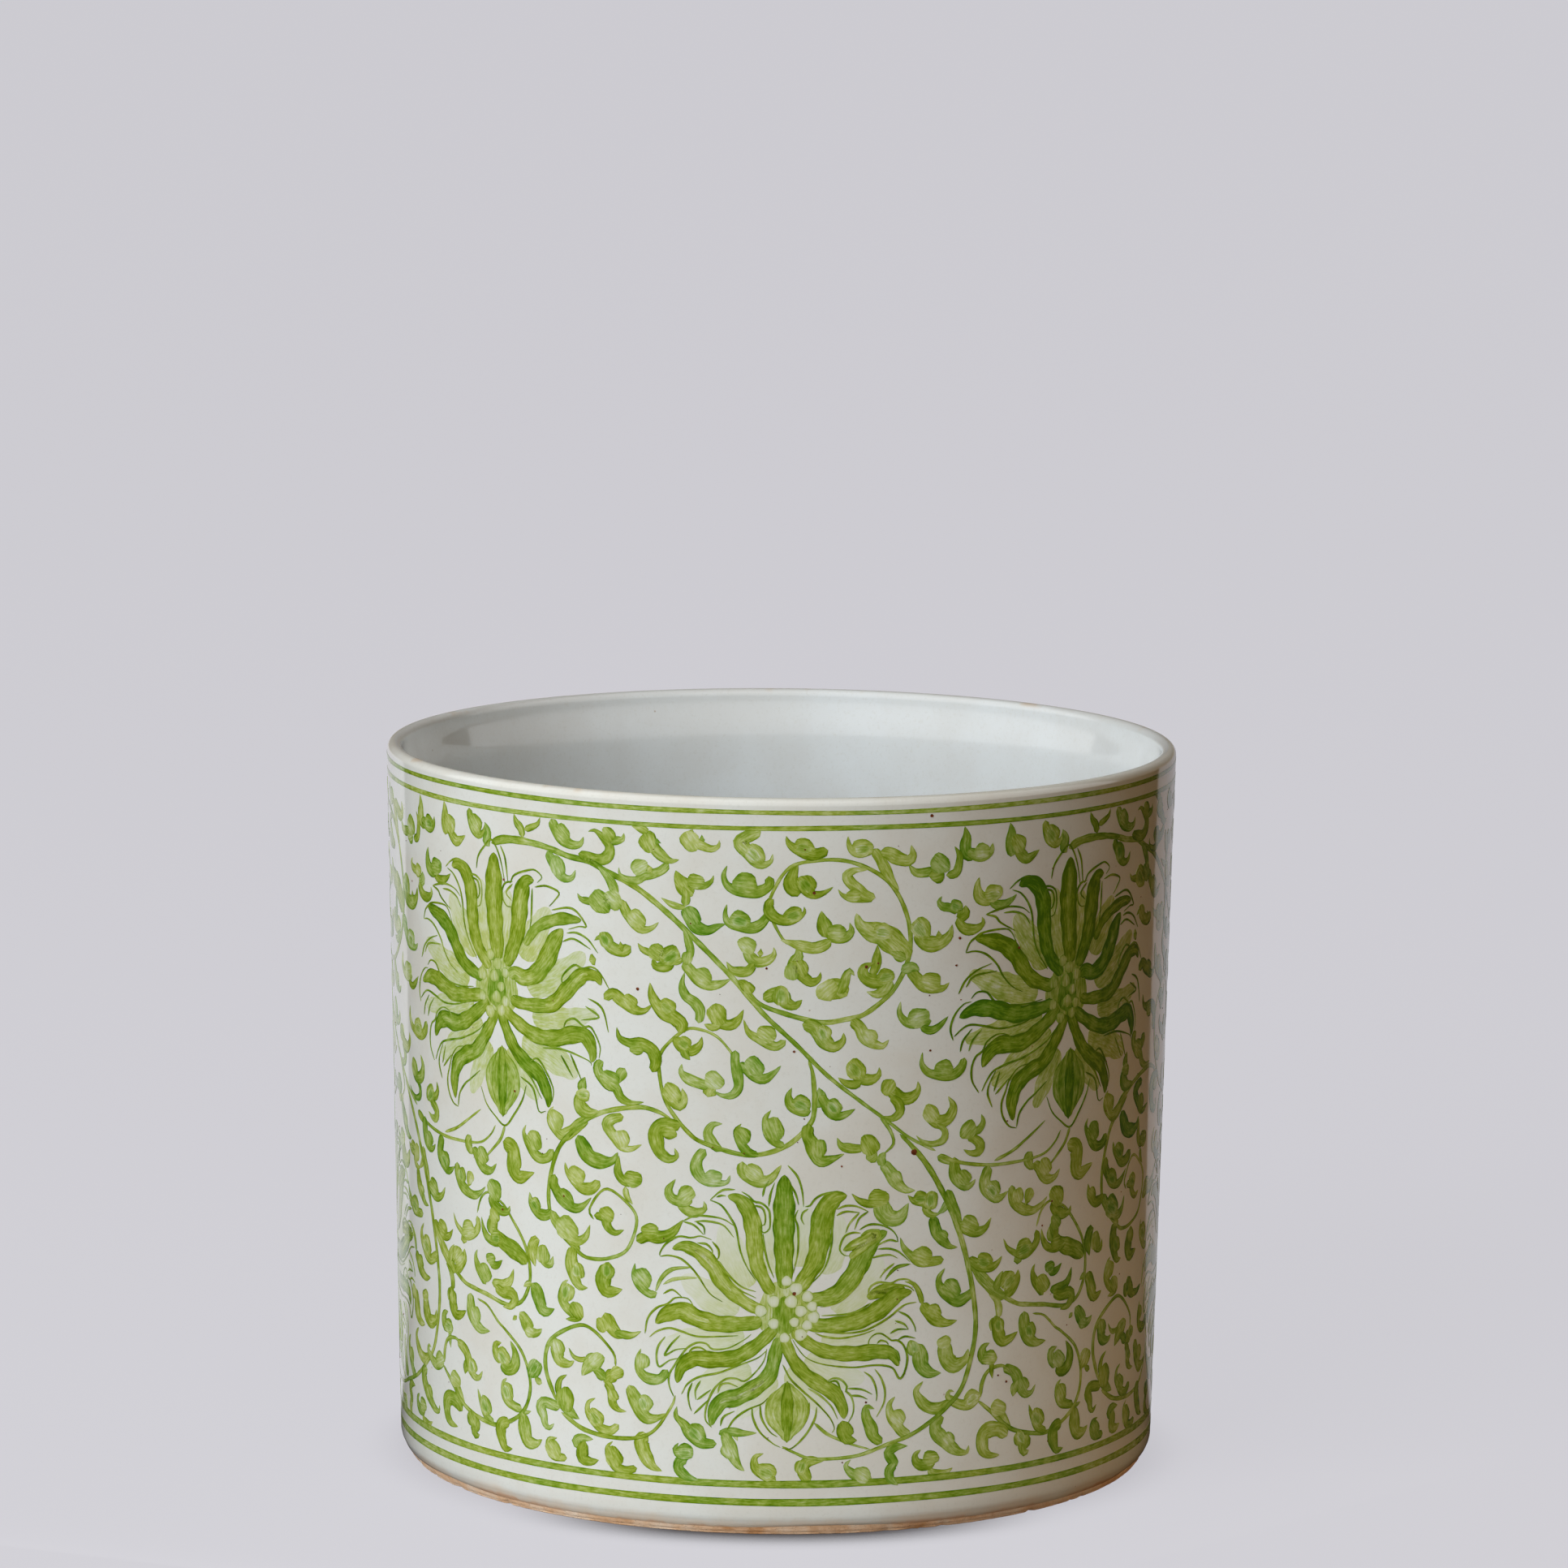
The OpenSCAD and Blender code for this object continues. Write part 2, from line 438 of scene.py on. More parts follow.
def porcelain_glaze(name, inside=False):
    """White porcelain under clear glaze, with faint clouding, pits and iron specks."""
    shader = Shader(name, Roughness=0.09, IOR=1.5, Coat_Weight=0.35, Coat_Roughness=0.05)
    place = shader.place()
    cloud = shader.noise(place, 26, 4, 0.6)
    grain = shader.noise(place, 900, 3, 0.7)
    cool = rgb(223, 227, 224) if not inside else rgb(220, 227, 231)
    warm = rgb(217, 217, 210) if not inside else rgb(214, 219, 221)
    color = shader.mix(shader.remap(cloud, 0.35, 0.68), cool, warm)
    color = shader.mix(shader.remap(grain, 0.50, 0.78, 0, 0.22), color, rgb(188, 188, 176))
    specks = shader.node("TexVoronoi", {"Vector": place, "Scale": 210, "Randomness": 1})
    chosen = shader.node("SeparateColor", {0: specks.outputs["Color"]}).outputs[0]
    near = shader.remap(specks.outputs["Distance"], 0.03, 0.10, 1, 0)
    rare = shader.math("GREATER_THAN", chosen, 0.93)
    shade = shader.math("MULTIPLY", near, rare)
    color = shader.mix(shader.math("MULTIPLY", shade, 0.55), color, rgb(150, 112, 72))
    if not inside:
        z = shader.height()
        edge = shader.noise(place, 42, 4, 0.65)
        drip = shader.math("MULTIPLY", shader.math("SUBTRACT", edge, 0.5), 7 * MM)
        level = shader.math("ADD", z, drip)
        thin = shader.remap(level, 2.8 * MM, 6.4 * MM, 1, 0)
        color = shader.mix(shader.math("MULTIPLY", thin, 0.70), color, rgb(222, 200, 174))
        bare = shader.remap(level, 2.2 * MM, 3.4 * MM, 1, 0)
        color = shader.mix(bare, color, rgb(218, 178, 146))
    crest = shader.remap(shader.height(), TOP - 1.6 * MM, TOP - 0.1 * MM, 0, 1)
    worn = shader.remap(shader.noise(place, 45, 3, 0.7), 0.60, 0.72)
    rub = shader.math("MULTIPLY", shader.math("MULTIPLY", crest, worn), 0.5)
    color = shader.mix(rub, color, rgb(203, 174, 138))
    shader.join(color, "Base Color")
    rough = shader.remap(shader.noise(place, 160, 2), 0.3, 0.7, 0.06, 0.12)
    shader.join(rough, "Roughness")
    dimple = shader.noise(place, 230, 3, 0.6)
    shader.bump(dimple, 0.10 * MM, 0.22)
    return shader.material


def body_clay():
    """Fired porcelain clay under the glaze."""
    shader = Shader("porcelain_body", Roughness=0.7)
    place = shader.place()
    color = shader.mix(shader.noise(place, 120, 4), rgb(228, 222, 210), rgb(214, 206, 192))
    shader.join(color, "Base Color")
    shader.bump(shader.noise(place, 1500, 2), 0.05 * MM, 0.4)
    return shader.material


def foot_clay():
    """Bare clay, burnt orange-brown where it met the kiln's flame."""
    shader = Shader("bare_clay", Roughness=0.82)
    place = shader.place()
    burn = shader.noise(place, 48, 4, 0.65)
    color = shader.ramp(burn, [(0.34, rgb(246, 228, 208)), (0.50, rgb(236, 198, 162)),
                               (0.64, rgb(206, 154, 108))])
    grit = shader.noise(place, 1300, 3, 0.7)
    color = shader.mix(shader.remap(grit, 0.55, 0.75, 0, 0.5), color, rgb(112, 74, 44))
    shader.join(color, "Base Color")
    shader.bump(grit, 0.25 * MM, 0.7)
    return shader.material


def green_pigment():
    """Copper-green brushwork: pale where the brush was wet, dark at the rims of a stroke."""
    shader = Shader("green_pigment", Roughness=0.10, IOR=1.5, Coat_Weight=0.35,
                    Coat_Roughness=0.05)
    place = shader.place()
    tone = shader.node("Attribute", attribute_name="tone").outputs["Fac"]
    blue = shader.node("Attribute", attribute_name="blue").outputs["Fac"]
    rim = shader.node("Attribute", attribute_name="rim").outputs["Fac"]
    brush = shader.node("Attribute", attribute_name="brush").outputs["Vector"]
    stretch = shader.node("Mapping", {"Vector": brush, "Scale": (1.0, 0.16, 1.0)}).outputs[0]
    streak = shader.noise(stretch, 1.9, 3, 0.6)
    pool = shader.noise(place, 240, 3, 0.6)
    uneven = shader.math("ADD", shader.remap(streak, 0.25, 0.75, -0.20, 0.20),
                         shader.remap(pool, 0.3, 0.7, -0.12, 0.12))
    loaded = shader.remap(tone, 0.0, 0.45, 0.15, 1.0)
    density = shader.math("ADD", tone, shader.math("MULTIPLY", uneven, loaded))
    density = shader.math("ADD", density, shader.math("MULTIPLY", rim, 0.33), clamp=True)
    olive = shader.ramp(density, [(0.0, rgb(217, 222, 206)), (0.30, rgb(184, 196, 118)),
                                  (0.55, rgb(151, 170, 64)), (0.80, rgb(120, 146, 20)),
                                  (1.0, rgb(88, 118, 0))])
    cold = shader.ramp(density, [(0.0, rgb(214, 222, 207)), (0.30, rgb(168, 190, 122)),
                                 (0.55, rgb(126, 161, 66)), (0.80, rgb(89, 139, 22)),
                                 (1.0, rgb(52, 108, 6))])
    shift = shader.noise(place, 34, 3, 0.6)
    lean = shader.math("ADD", blue, shader.remap(shift, 0.35, 0.65, -0.25, 0.25), clamp=True)
    shader.join(shader.mix(lean, olive, cold), "Base Color")
    shader.bump(shader.noise(place, 230, 3, 0.6), 0.10 * MM, 0.22)
    return shader.material


# ---------------------------------------------------------------- brushwork

EDGE_LIFT = -0.10                  # height in mm of a film's hidden edge: under the glaze


def smooth_path(points, step):
    """Catmull-Rom curve through points, sampled about every step. Extra columns are carried."""
    path = np.array(points, float)
    path = np.vstack([2 * path[0] - path[1], path, 2 * path[-1] - path[-2]])
    found = []
    for a, b, c, d in zip(path, path[1:], path[2:], path[3:]):
        count = max(2, round(math.hypot(*(c - b)[:2]) / step))
        t = np.linspace(0, 1, count, endpoint=False)[:, None]
        found.append(0.5 * (2 * b + (c - a) * t + (2 * a - 5 * b + 4 * c - d) * t ** 2
                            + (3 * b - a - 3 * c + d) * t ** 3))
    return np.vstack(found + [path[-2:-1]])


def swell(t, first, full, last):
    """Width of a stroke along its length: first at the start, 1 at full, last at the end."""
    rise = np.clip(t / full, 0, 1)
    fall = np.clip((t - full) / (1 - full), 0, 1)
    round_in = first + (1 - first) * np.sin(rise * math.pi / 2)
    taper = 1 - (1 - last) * fall ** 1.7
    return np.minimum(round_in, taper)


def on_wall(s, z, lift):
    """Points on the glazed wall, from unrolled millimetres and a height above the glaze. Far
    from the front the pattern is bent a little, so that its repeats aren't exact copies."""
    theta = s / PAINT_RADIUS
    height = z * MM
    away = math.radians(100)
    amount = np.clip((np.abs((theta + math.pi) % (2 * math.pi) - math.pi) - away) / 0.6, 0, 1)
    amount = amount * amount * (3 - 2 * amount)
    inside = np.clip(np.minimum(z - 19, 220 - z) / 12, 0, 1)
    height = height + amount * inside * 1.6 * MM * np.sin(3.1 * theta + z * 0.05)
    theta = theta + amount * inside * 0.013 * np.sin(z * 0.043 + 2.3 * theta)
    radius = outer_r(height) + hand(theta, height) + lift * MM
    return np.stack([radius * np.sin(theta), -radius * np.cos(theta), height], -1)


class Painting:
    """Brush strokes gathered into one mesh. Each is a thin closed film that lies on the glaze."""

    def __init__(self):
        self.points = []
        self.faces = []
        self.marks = {"tone": [], "blue": [], "rim": [], "brush": []}
        self.shift = 0.0
        # Tone added to every stroke: pigment load, and painted shade on the repeat at the shaded
        # right.
        self.load_and_shade = 0.0

    def film(self, grid_s, grid_z, tone, blue, rim, brush, lift):
        """Adds a film from a grid of rows along the stroke and columns across it."""
        rows, columns = grid_s.shape
        tone = tone + self.load_and_shade
        top = on_wall(grid_s + self.shift, grid_z, np.full(grid_s.shape, lift))
        edge_s = grid_s[:, [-1, 0]] + self.shift
        low = on_wall(edge_s, grid_z[:, [-1, 0]], np.full(edge_s.shape, EDGE_LIFT))
        base = len(self.points)
        self.points += np.concatenate([top, low], 1).reshape(-1, 3).tolist()
        around = columns + 2
        for i in range(rows - 1):
            row = base + i * around
            for j in range(around):
                k = (j + 1) % around
                self.faces.append((row + j, row + k, row + around + k, row + around + j))
        last = base + (rows - 1) * around
        self.faces.append(tuple(base + j for j in reversed(range(around))))
        self.faces.append(tuple(last + j for j in range(around)))
        for name, values in (("tone", tone), ("blue", blue), ("rim", rim)):
            full = np.broadcast_to(values, grid_s.shape)
            self.marks[name] += np.concatenate([full, full[:, [-1, 0]]], 1).ravel().tolist()
        wide = np.concatenate([brush, brush[:, [-1, 0]]], 1)
        self.marks["brush"] += wide.reshape(-1, 3).tolist()

    def stroke(self, points, width, tone, blue=0.3, ends=(0.5, 0.5, 0.2), fade=0.0,
               rim=1.0, step=1.0, columns=5, load=0.0, layer=0):
        """One brush stroke, as wide as width, or with a half-width as each point's third value.
        Tone runs from tone to tone + fade, and up and down by load. Layer -1 lies under the
        strokes of layer 0, and layer 1 over them."""
        path = smooth_path(points, step)
        along = np.concatenate([[0], np.cumsum(np.hypot(*np.diff(path[:, :2], axis=0).T))])
        t = along / along[-1]
        direction = np.gradient(path[:, :2], axis=0)
        direction /= np.maximum(np.hypot(*direction.T), 1e-9)[:, None]
        normal = np.stack([-direction[:, 1], direction[:, 0]], -1)
        half = (path[:, 2] if path.shape[1] > 2 else width / 2) * swell(t, *ends)
        seed = random.uniform(0, 900)
        half = half * (1 + 0.06 * np.sin(along * 0.9 + seed))
        for gone in (along, along[-1] - along):
            half = half * np.sqrt(1 - (1 - np.clip(gone / np.maximum(half, 0.1), 0, 1)) ** 2)
        half = np.maximum(half, 0.08)
        across = np.linspace(1, -1, columns)
        grid = path[:, None, :2] + normal[:, None] * (half[:, None] * across)[..., None]
        tones = tone + fade * t + load * np.sin(along * 0.11 + seed) * np.sin(along * 0.043)
        tones = tones[:, None] + 0.0 * across
        rims = rim * np.abs(across)[None] ** 3 + 0.0 * t[:, None]
        brush = np.stack([half[:, None] * across, along[:, None] + 0 * across,
                          np.full((len(t), columns), seed)], -1)
        lift = 0.030 + 0.045 * random.random()
        if layer:
            lift = 0.25 * lift + 0.037 + 0.029 * layer
        self.film(grid[..., 0], grid[..., 1], tones, blue, rims, brush, lift)

    def spot(self, s, z, radius, tone, blue=0.3, rim=1.0, lift=0.08, squash=1.0, turn=0.0,
             one_side=0.0):
        """A dab, built as rings round its middle. one_side keeps its dark rim to that side."""
        rings = 4
        columns = 17
        angle = np.linspace(0, -2 * math.pi, columns)
        grow = np.linspace(0.04, 1, rings)[:, None]
        wobble = 1 + 0.06 * np.sin(3 * angle + s) + 0.04 * np.sin(5 * angle + z)
        x = radius * grow * np.cos(angle) * wobble
        y = radius * grow * np.sin(angle) * wobble * squash
        grid_s = s + x * math.cos(turn) - y * math.sin(turn)
        grid_z = z + x * math.sin(turn) + y * math.cos(turn)
        brush = np.stack([x, y, np.full_like(x, s)], -1)
        rims = rim * grow ** 3 * (1 - one_side * (0.5 - 0.5 * np.cos(angle)))
        self.disc(grid_s, grid_z, tone, blue, rims, brush, lift)

    def disc(self, grid_s, grid_z, tone, blue, rim, brush, lift):
        """Adds a closed disc from rings of points, the last column repeating the first."""
        rings = len(grid_s)
        around = grid_s.shape[1] - 1
        tone = tone + self.load_and_shade
        height = np.full((rings, around), lift)
        top = on_wall(grid_s[:, :-1] + self.shift, grid_z[:, :-1], height)
        low = on_wall(grid_s[-1:, :-1] + self.shift, grid_z[-1:, :-1],
                      np.full((1, around), EDGE_LIFT))
        base = len(self.points)
        self.points += np.concatenate([top, low]).reshape(-1, 3).tolist()
        for i in range(rings):
            for j in range(around):
                k = (j + 1) % around
                row = base + i * around
                self.faces.append((row + j, row + k, row + around + k, row + around + j))
        self.faces.append(tuple(base + j for j in reversed(range(around))))
        self.faces.append(tuple(base + rings * around + j for j in range(around)))
        for name, values in (("tone", tone), ("blue", blue), ("rim", rim)):
            full = np.broadcast_to(values, grid_s.shape)[:, :-1]
            self.marks[name] += np.concatenate([full, full[-1:]]).ravel().tolist()
        flat = np.concatenate([brush[:, :-1], brush[-1:, :-1]])
        self.marks["brush"] += flat.reshape(-1, 3).tolist()

    def finish(self, name, material, slot="green_pigment"):
        """Turns the strokes into a piece, with their tones as attributes of its points."""
        mesh = bpy.data.meshes.new(name)
        mesh.from_pydata(self.points, [], self.faces)
        for key, values in self.marks.items():
            vector = key == "brush"
            made = mesh.attributes.new(key, "FLOAT_VECTOR" if vector else "FLOAT", "POINT")
            flat = np.array(values, np.float32).ravel()
            made.data.foreach_set("vector" if vector else "value", flat)
        mesh.shade_smooth()
        mesh.set_sharp_from_angle(angle=math.radians(30))
        return link_object(name, mesh, material)


def line_middles(node, width):
    """Middle heights in mm of the two painted lines of a CAD node."""
    low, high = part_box(node)
    return (low.z / MM + width / 2, high.z / MM - width / 2)


def make_lines(name, width, material):
    """Two lines drawn round the pot on the wheel, each a little uneven."""
    theta = np.linspace(-math.pi, math.pi, SEGMENTS + 1)[:-1]
    columns = 5
    across = np.linspace(1, -1, columns)
    painting = Painting()
    for height in line_middles(name, width):
        seed = random.uniform(0, 9)
        wander = 0.12 * np.sin(3 * theta + seed) + 0.08 * np.sin(8 * theta - seed)
        load = 0.5 + 0.5 * np.sin(2 * theta + seed)
        half = width / 2 * (0.93 + 0.07 * np.sin(5 * theta + seed) + 0.04 * np.sin(17 * theta))
        grid_s = np.broadcast_to(theta[:, None] * PAINT_RADIUS, (SEGMENTS, columns))
        grid_z = (height + wander)[:, None] + half[:, None] * across
        tone = (0.45 + 0.16 * load)[:, None] + 0 * across
        brush = np.stack([half[:, None] * across, grid_s, np.full(grid_s.shape, seed)], -1)
        first = len(painting.points)
        painting.film(grid_s, grid_z, tone, 0.25, np.abs(across) ** 3 * 0.8 + 0 * grid_s,
                      brush, 0.06)
        around = columns + 2
        start = painting.faces.pop()[0]
        painting.faces.pop()
        for j in range(around):
            k = (j + 1) % around
            painting.faces.append((start + j, start + k, first + k, first + j))
    lines = painting.finish(name + "_brushed", material)
    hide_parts(name)


# How much wider than its listed width the wet pigment of each kind of stroke spreads.
VINE_SPREAD = 1.12
WASH_SPREAD = 1.5
PETAL_SPREAD = 1.07
LEAF_SPREAD = 1.48
LOBE_SPREAD = 1.13

# Vines of one repeat, as (s, z) points of their middle line. Each has its width in mm.
VINES = [
    (2.5, [(-98.5, 211.8), (-94, 213.4), (-88, 214), (-80, 213.6), (-72, 212.3)]),
    (1.75, [(-98, 212.5), (-90, 214), (-82, 213.8), (-75, 212.8), (-68, 211), (-60, 209.8),
            (-55, 207.5), (-45, 203.2), (-35, 196), (-25, 187), (-15, 177), (-5, 165.5),
            (5, 156), (15, 146), (25, 138), (33, 132), (40, 126.5), (45, 123.5), (50, 121)]),
    (1.7, [(38, 127), (42, 123), (47, 117), (52, 109), (57, 99), (61, 88), (64, 76),
           (65.5, 65), (64.5, 56), (61, 45), (55, 38.5), (45, 32), (35, 28.5), (25, 25.5),
           (12, 25), (6, 27), (2, 29)]),
    (1.0, [(12, 36.5), (16, 33), (20, 31), (25, 29), (30, 27.5)]),
    (1.1, [(31.5, 133), (35, 128), (36, 124), (33, 121)]),
    (1.1, [(51, 119), (60, 116.3), (70, 114.8), (80, 114.8), (87, 115.3), (92, 116.5),
           (96, 119.5), (98, 122.5)]),
    (1.0, [(71, 116), (78, 118.5), (84, 122), (91, 126.5)]),
    (1.0, [(-94, 123), (-96, 118.5), (-100, 114.5), (-104, 111)]),
    # The scrolls
    (1.45, [(-10, 173), (-6, 168.5), (0, 166), (12, 162.8), (20, 163.5), (27, 165.5),
            (36, 173.5), (40.3, 185), (38.5, 197), (32, 207), (20, 212.8), (7, 212.5),
            (1, 209), (-3.5, 200), (-3, 196), (1, 188.5), (4, 187), (9, 185.5), (13, 187),
            (15, 189.5)]),
    (1.45, [(9, 151), (10.5, 146), (11, 135), (9, 130), (2, 123.8), (-9, 121), (-22, 124),
            (-28, 127.5), (-35, 136.5), (-37.3, 147), (-36, 153), (-29, 159.5), (-24, 159.8),
            (-19, 157.8), (-15, 153.5), (-12.5, 149.5)]),
    (1.45, [(-33, 131), (-38, 133.5), (-45, 134.3), (-58, 131), (-67, 124.5), (-73, 117),
            (-76.2, 104), (-74, 94.5), (-65, 86.5), (-60, 85), (-54, 85.8), (-48, 89),
            (-44.8, 97), (-46, 102), (-53, 107.3), (-57, 106.5), (-61, 100.5),
            (-59.5, 97.5)]),
    (1.4, [(63, 84), (70, 76.5), (80, 70), (86, 68.5), (93, 67.5), (100, 66), (104.4, 66),
           (109.4, 68.5), (112.4, 76), (110.4, 86), (102.4, 96.5), (98.2, 99), (94, 100.5),
           (90.5, 98), (88.5, 93)]),
    (1.3, [(68, 41), (68.3, 45), (70, 48.5), (73, 50), (77, 49.8), (82, 45.5)]),
    (1.4, [(67, 40), (72, 36), (80, 29.5), (90, 26.5), (98.4, 26.5), (108.4, 32),
           (112, 41), (108.9, 51), (101.4, 57.5), (98.2, 59.5), (93, 64), (88, 65.3)]),
    (1.4, [(-74, 38), (-78, 48), (-76, 57), (-66, 63), (-60, 62.3), (-53, 56),
           (-52, 51.5)]),
    (1.4, [(-72, 34.5), (-63, 30), (-50, 28.8), (-40, 31.5), (-33.5, 40), (-32, 44)]),
]


def paint_vines(painting):
    """The long scrolling stems: fine lines that darken where the brush was reloaded."""
    for width, points in VINES:
        painting.stroke(points, width * VINE_SPREAD, 0.55, 0.25, (0.5, 0.1, 0.45), rim=0.8,
                        step=1.3, load=0.14)


# A lotus is made of petals, outlines and washes. A petal is (half-width, points), tip first.
UPPER_PETALS = [
    (3.6, [(-97.5, 209), (-97.8, 194), (-96.5, 179)]),
    (3.1, [(-80.8, 202), (-84, 201.5), (-86, 197), (-87, 190), (-88, 184), (-91, 177)]),
    (1.9, [(-63.2, 191.3), (-71, 191), (-79.5, 187.5)]),
    (3.0, [(-70, 188), (-73, 184), (-76, 178), (-80, 173), (-85, 171), (-89, 172)]),
    (2.5, [(-56.5, 171.5), (-58, 174), (-62, 174.5), (-65, 172.5), (-68, 169.5), (-74, 164),
           (-80, 162.8), (-88, 163)]),
    (2.6, [(-60, 147), (-59.5, 150), (-62, 155), (-67, 155), (-72, 153.5), (-78, 153),
           (-84, 154.5), (-92, 159)]),
    (2.4, [(-76, 131), (-76, 134), (-77.5, 138), (-80, 141.5), (-85, 144.5), (-90, 149),
           (-95, 158)]),
    (2.8, [(-118.7, 202), (-115.2, 203), (-111.2, 201), (-108.7, 196), (-108.2, 190),
           (-107.2, 183), (-105, 178), (-101.5, 174)]),
    (2.7, [(-134.4, 187), (-131.2, 186.3), (-126.2, 185), (-122.2, 183), (-118.7, 179.5),
           (-116.2, 176), (-112.2, 172), (-106, 169.5)]),
    (2.7, [(-139.2, 162.3), (-134.2, 164.5), (-129.2, 164.5), (-123.2, 163),
           (-117.2, 161.5), (-105.5, 163)]),
    (2.7, [(-130.7, 146), (-128.2, 150.5), (-124.2, 152.5), (-118.2, 152.3),
           (-112.2, 154), (-103, 160)]),
    (2.6, [(-118.7, 128), (-119.2, 134), (-117.2, 139.5), (-112.2, 143), (-106.2, 146),
           (-99, 156)]),
]
UPPER_BUD = (7.0, (-94.9, 137), 11.4)
UPPER_OUTLINES = [
    [(-105.7, 203), (-104.7, 207), (-101.7, 210.5), (-98.7, 212.9), (-96.2, 210.5),
     (-94.2, 206), (-92.8, 200)],
    [(-94.5, 211.5), (-92.5, 207.5), (-91.5, 200.5)],
    [(-90.5, 200), (-88.5, 203), (-82, 205.3), (-79.5, 205), (-77.7, 203.3), (-79.5, 201.5)],
    [(-89.5, 200.7), (-92.5, 200), (-94, 197.5), (-93.5, 194.5), (-92, 192.8), (-90, 192.7)],
    [(-89.5, 200), (-92.2, 197), (-90, 194.7)],
    [(-81.5, 199.5), (-82, 190), (-83, 185)],
    [(-80.5, 200), (-76, 200.8), (-71.3, 199.2), (-73, 196.5), (-75, 194.5)],
    [(-74, 193.5), (-68, 194.8), (-64.5, 193.5), (-61.5, 189.5), (-64, 189.3), (-68, 188)],
    [(-68.5, 186.8), (-65, 187.2), (-61, 185.5), (-57.5, 181.5)],
    [(-70, 184), (-66, 185.2), (-60, 182.5)],
    [(-70, 170), (-70.3, 173), (-66, 177), (-63, 176.2), (-60, 177), (-57, 175.5),
     (-53.3, 170)],
    [(-61, 167), (-57.5, 165.5), (-55.5, 163), (-54, 157)],
    [(-62, 164.5), (-57.3, 161.5), (-63.5, 160)],
    [(-70, 156.5), (-69, 159), (-66, 160.2), (-62.5, 158), (-60, 158), (-57, 152.5),
     (-57.3, 148.5)],
    [(-78, 149.7), (-70, 150), (-61, 147.5), (-60, 146)],
    [(-71, 148.2), (-66.5, 141.5)],
    [(-67.5, 149), (-63.5, 141)],
    [(-83, 144.8), (-80, 146), (-76.5, 142), (-74, 137), (-74.5, 133)],
    [(-88, 143.5), (-83, 140), (-78.5, 133.5)],
    [(-87, 139.5), (-82, 136.5), (-79.7, 129.5), (-77, 129.8)],
    [(-84.7, 137), (-86.5, 132), (-90, 127), (-94, 123), (-98.5, 125.5), (-102.5, 129),
     (-105, 134)],
    [(-122.2, 201.3), (-119.2, 203.5), (-115.2, 204.7), (-110.9, 203.3), (-108.7, 201),
     (-106.2, 200.7), (-103.7, 199), (-103.2, 195), (-104.2, 191.5), (-106.7, 191)],
    [(-108.2, 200), (-105.2, 199), (-104.2, 196), (-105.2, 193.7), (-106.7, 193.5)],
    [(-121.2, 201), (-117.7, 199.5), (-114.7, 196), (-113.2, 192), (-112.2, 185),
     (-110.2, 180), (-106.2, 174.5)],
    [(-130.7, 194), (-127.2, 195), (-122.2, 195.8), (-117.2, 195), (-114.2, 193)],
    [(-130.7, 194), (-127.2, 193), (-125.2, 191), (-119.7, 188)],
    [(-124.2, 194), (-120.2, 194), (-116.2, 192.5), (-113.9, 189.5)],
    [(-137.5, 182.5), (-136.2, 185.5), (-134.2, 187), (-131.2, 188.5), (-124.2, 189),
     (-121.2, 187.8), (-118.7, 183.5)],
    [(-137.5, 182.5), (-134.2, 182.8), (-130.2, 181.5), (-126.2, 178), (-123.7, 174),
     (-120.2, 170.5), (-116.2, 168.5)],
    [(-139.7, 169.8), (-137.2, 174), (-133.2, 176.8), (-128.2, 178.5)],
    [(-137.2, 171.7), (-134.2, 175), (-126.2, 176)],
    [(-141.2, 155.3), (-142.2, 159), (-140.7, 163.5), (-137.7, 166.5), (-135.2, 167)],
    [(-135.2, 168), (-133.2, 169.8), (-129.7, 169.5), (-126.2, 166), (-121.2, 164.8),
     (-114.2, 164.5), (-108, 165.2)],
    [(-140.9, 156.5), (-138.2, 158.7), (-135.2, 159.8), (-130.2, 159), (-124.2, 157.7),
     (-116.2, 158.5), (-109.2, 161)],
    [(-138.7, 151.5), (-137.7, 155), (-134.7, 158.5)],
    [(-135.7, 151.5), (-134.2, 155), (-131.2, 158)],
    [(-131.7, 138), (-134.2, 142), (-134.5, 146), (-133.2, 149.5), (-130.7, 151.2),
     (-129.2, 154), (-125.2, 156), (-121.2, 155.3), (-120.2, 153.5)],
    [(-130.7, 138.5), (-128.7, 142), (-126.2, 144.7), (-121.2, 146.3), (-114.2, 148),
     (-106.2, 151.5), (-102.2, 155)],
    [(-126.7, 133), (-128.5, 137.5), (-127.7, 141), (-125.7, 144.5)],
    [(-126.2, 138), (-124.2, 144)],
    [(-125.7, 137), (-120.7, 141.5)],
    [(-117.2, 125.5), (-120.2, 126.5), (-122.7, 130), (-123.2, 134), (-121.7, 138),
     (-120.2, 141.5), (-117.2, 144.5), (-113.2, 145.5)],
    [(-117.2, 125.7), (-116.2, 130), (-113.2, 133.5), (-110.2, 135.5), (-105.2, 139)],
]
UPPER_WASHES = [
    (3.4, [(-75, 194), (-80, 186), (-86, 177)]), (3.2, [(-62, 181), (-72, 173), (-84, 168)]),
    (2.6, [(-58, 163), (-68, 160), (-82, 159)]), (3.6, [(-65, 142), (-74, 147), (-86, 152)]),
    (2.8, [(-80, 133), (-86, 140), (-92, 148)]), (3.4, [(-120, 193), (-113, 184), (-105, 176)]),
    (3.2, [(-136, 176), (-124, 171), (-110, 167)]), (2.8, [(-137, 155), (-124, 157), (-108, 162)]),
    (3.2, [(-127, 140), (-116, 147), (-104, 155)]), (2.6, [(-110, 131), (-106, 139), (-101, 149)]),
    (3.0, [(-91.5, 198), (-92.5, 188), (-94, 176)]), (3.0, [(-104, 200), (-103, 188), (-100, 176)]),
]
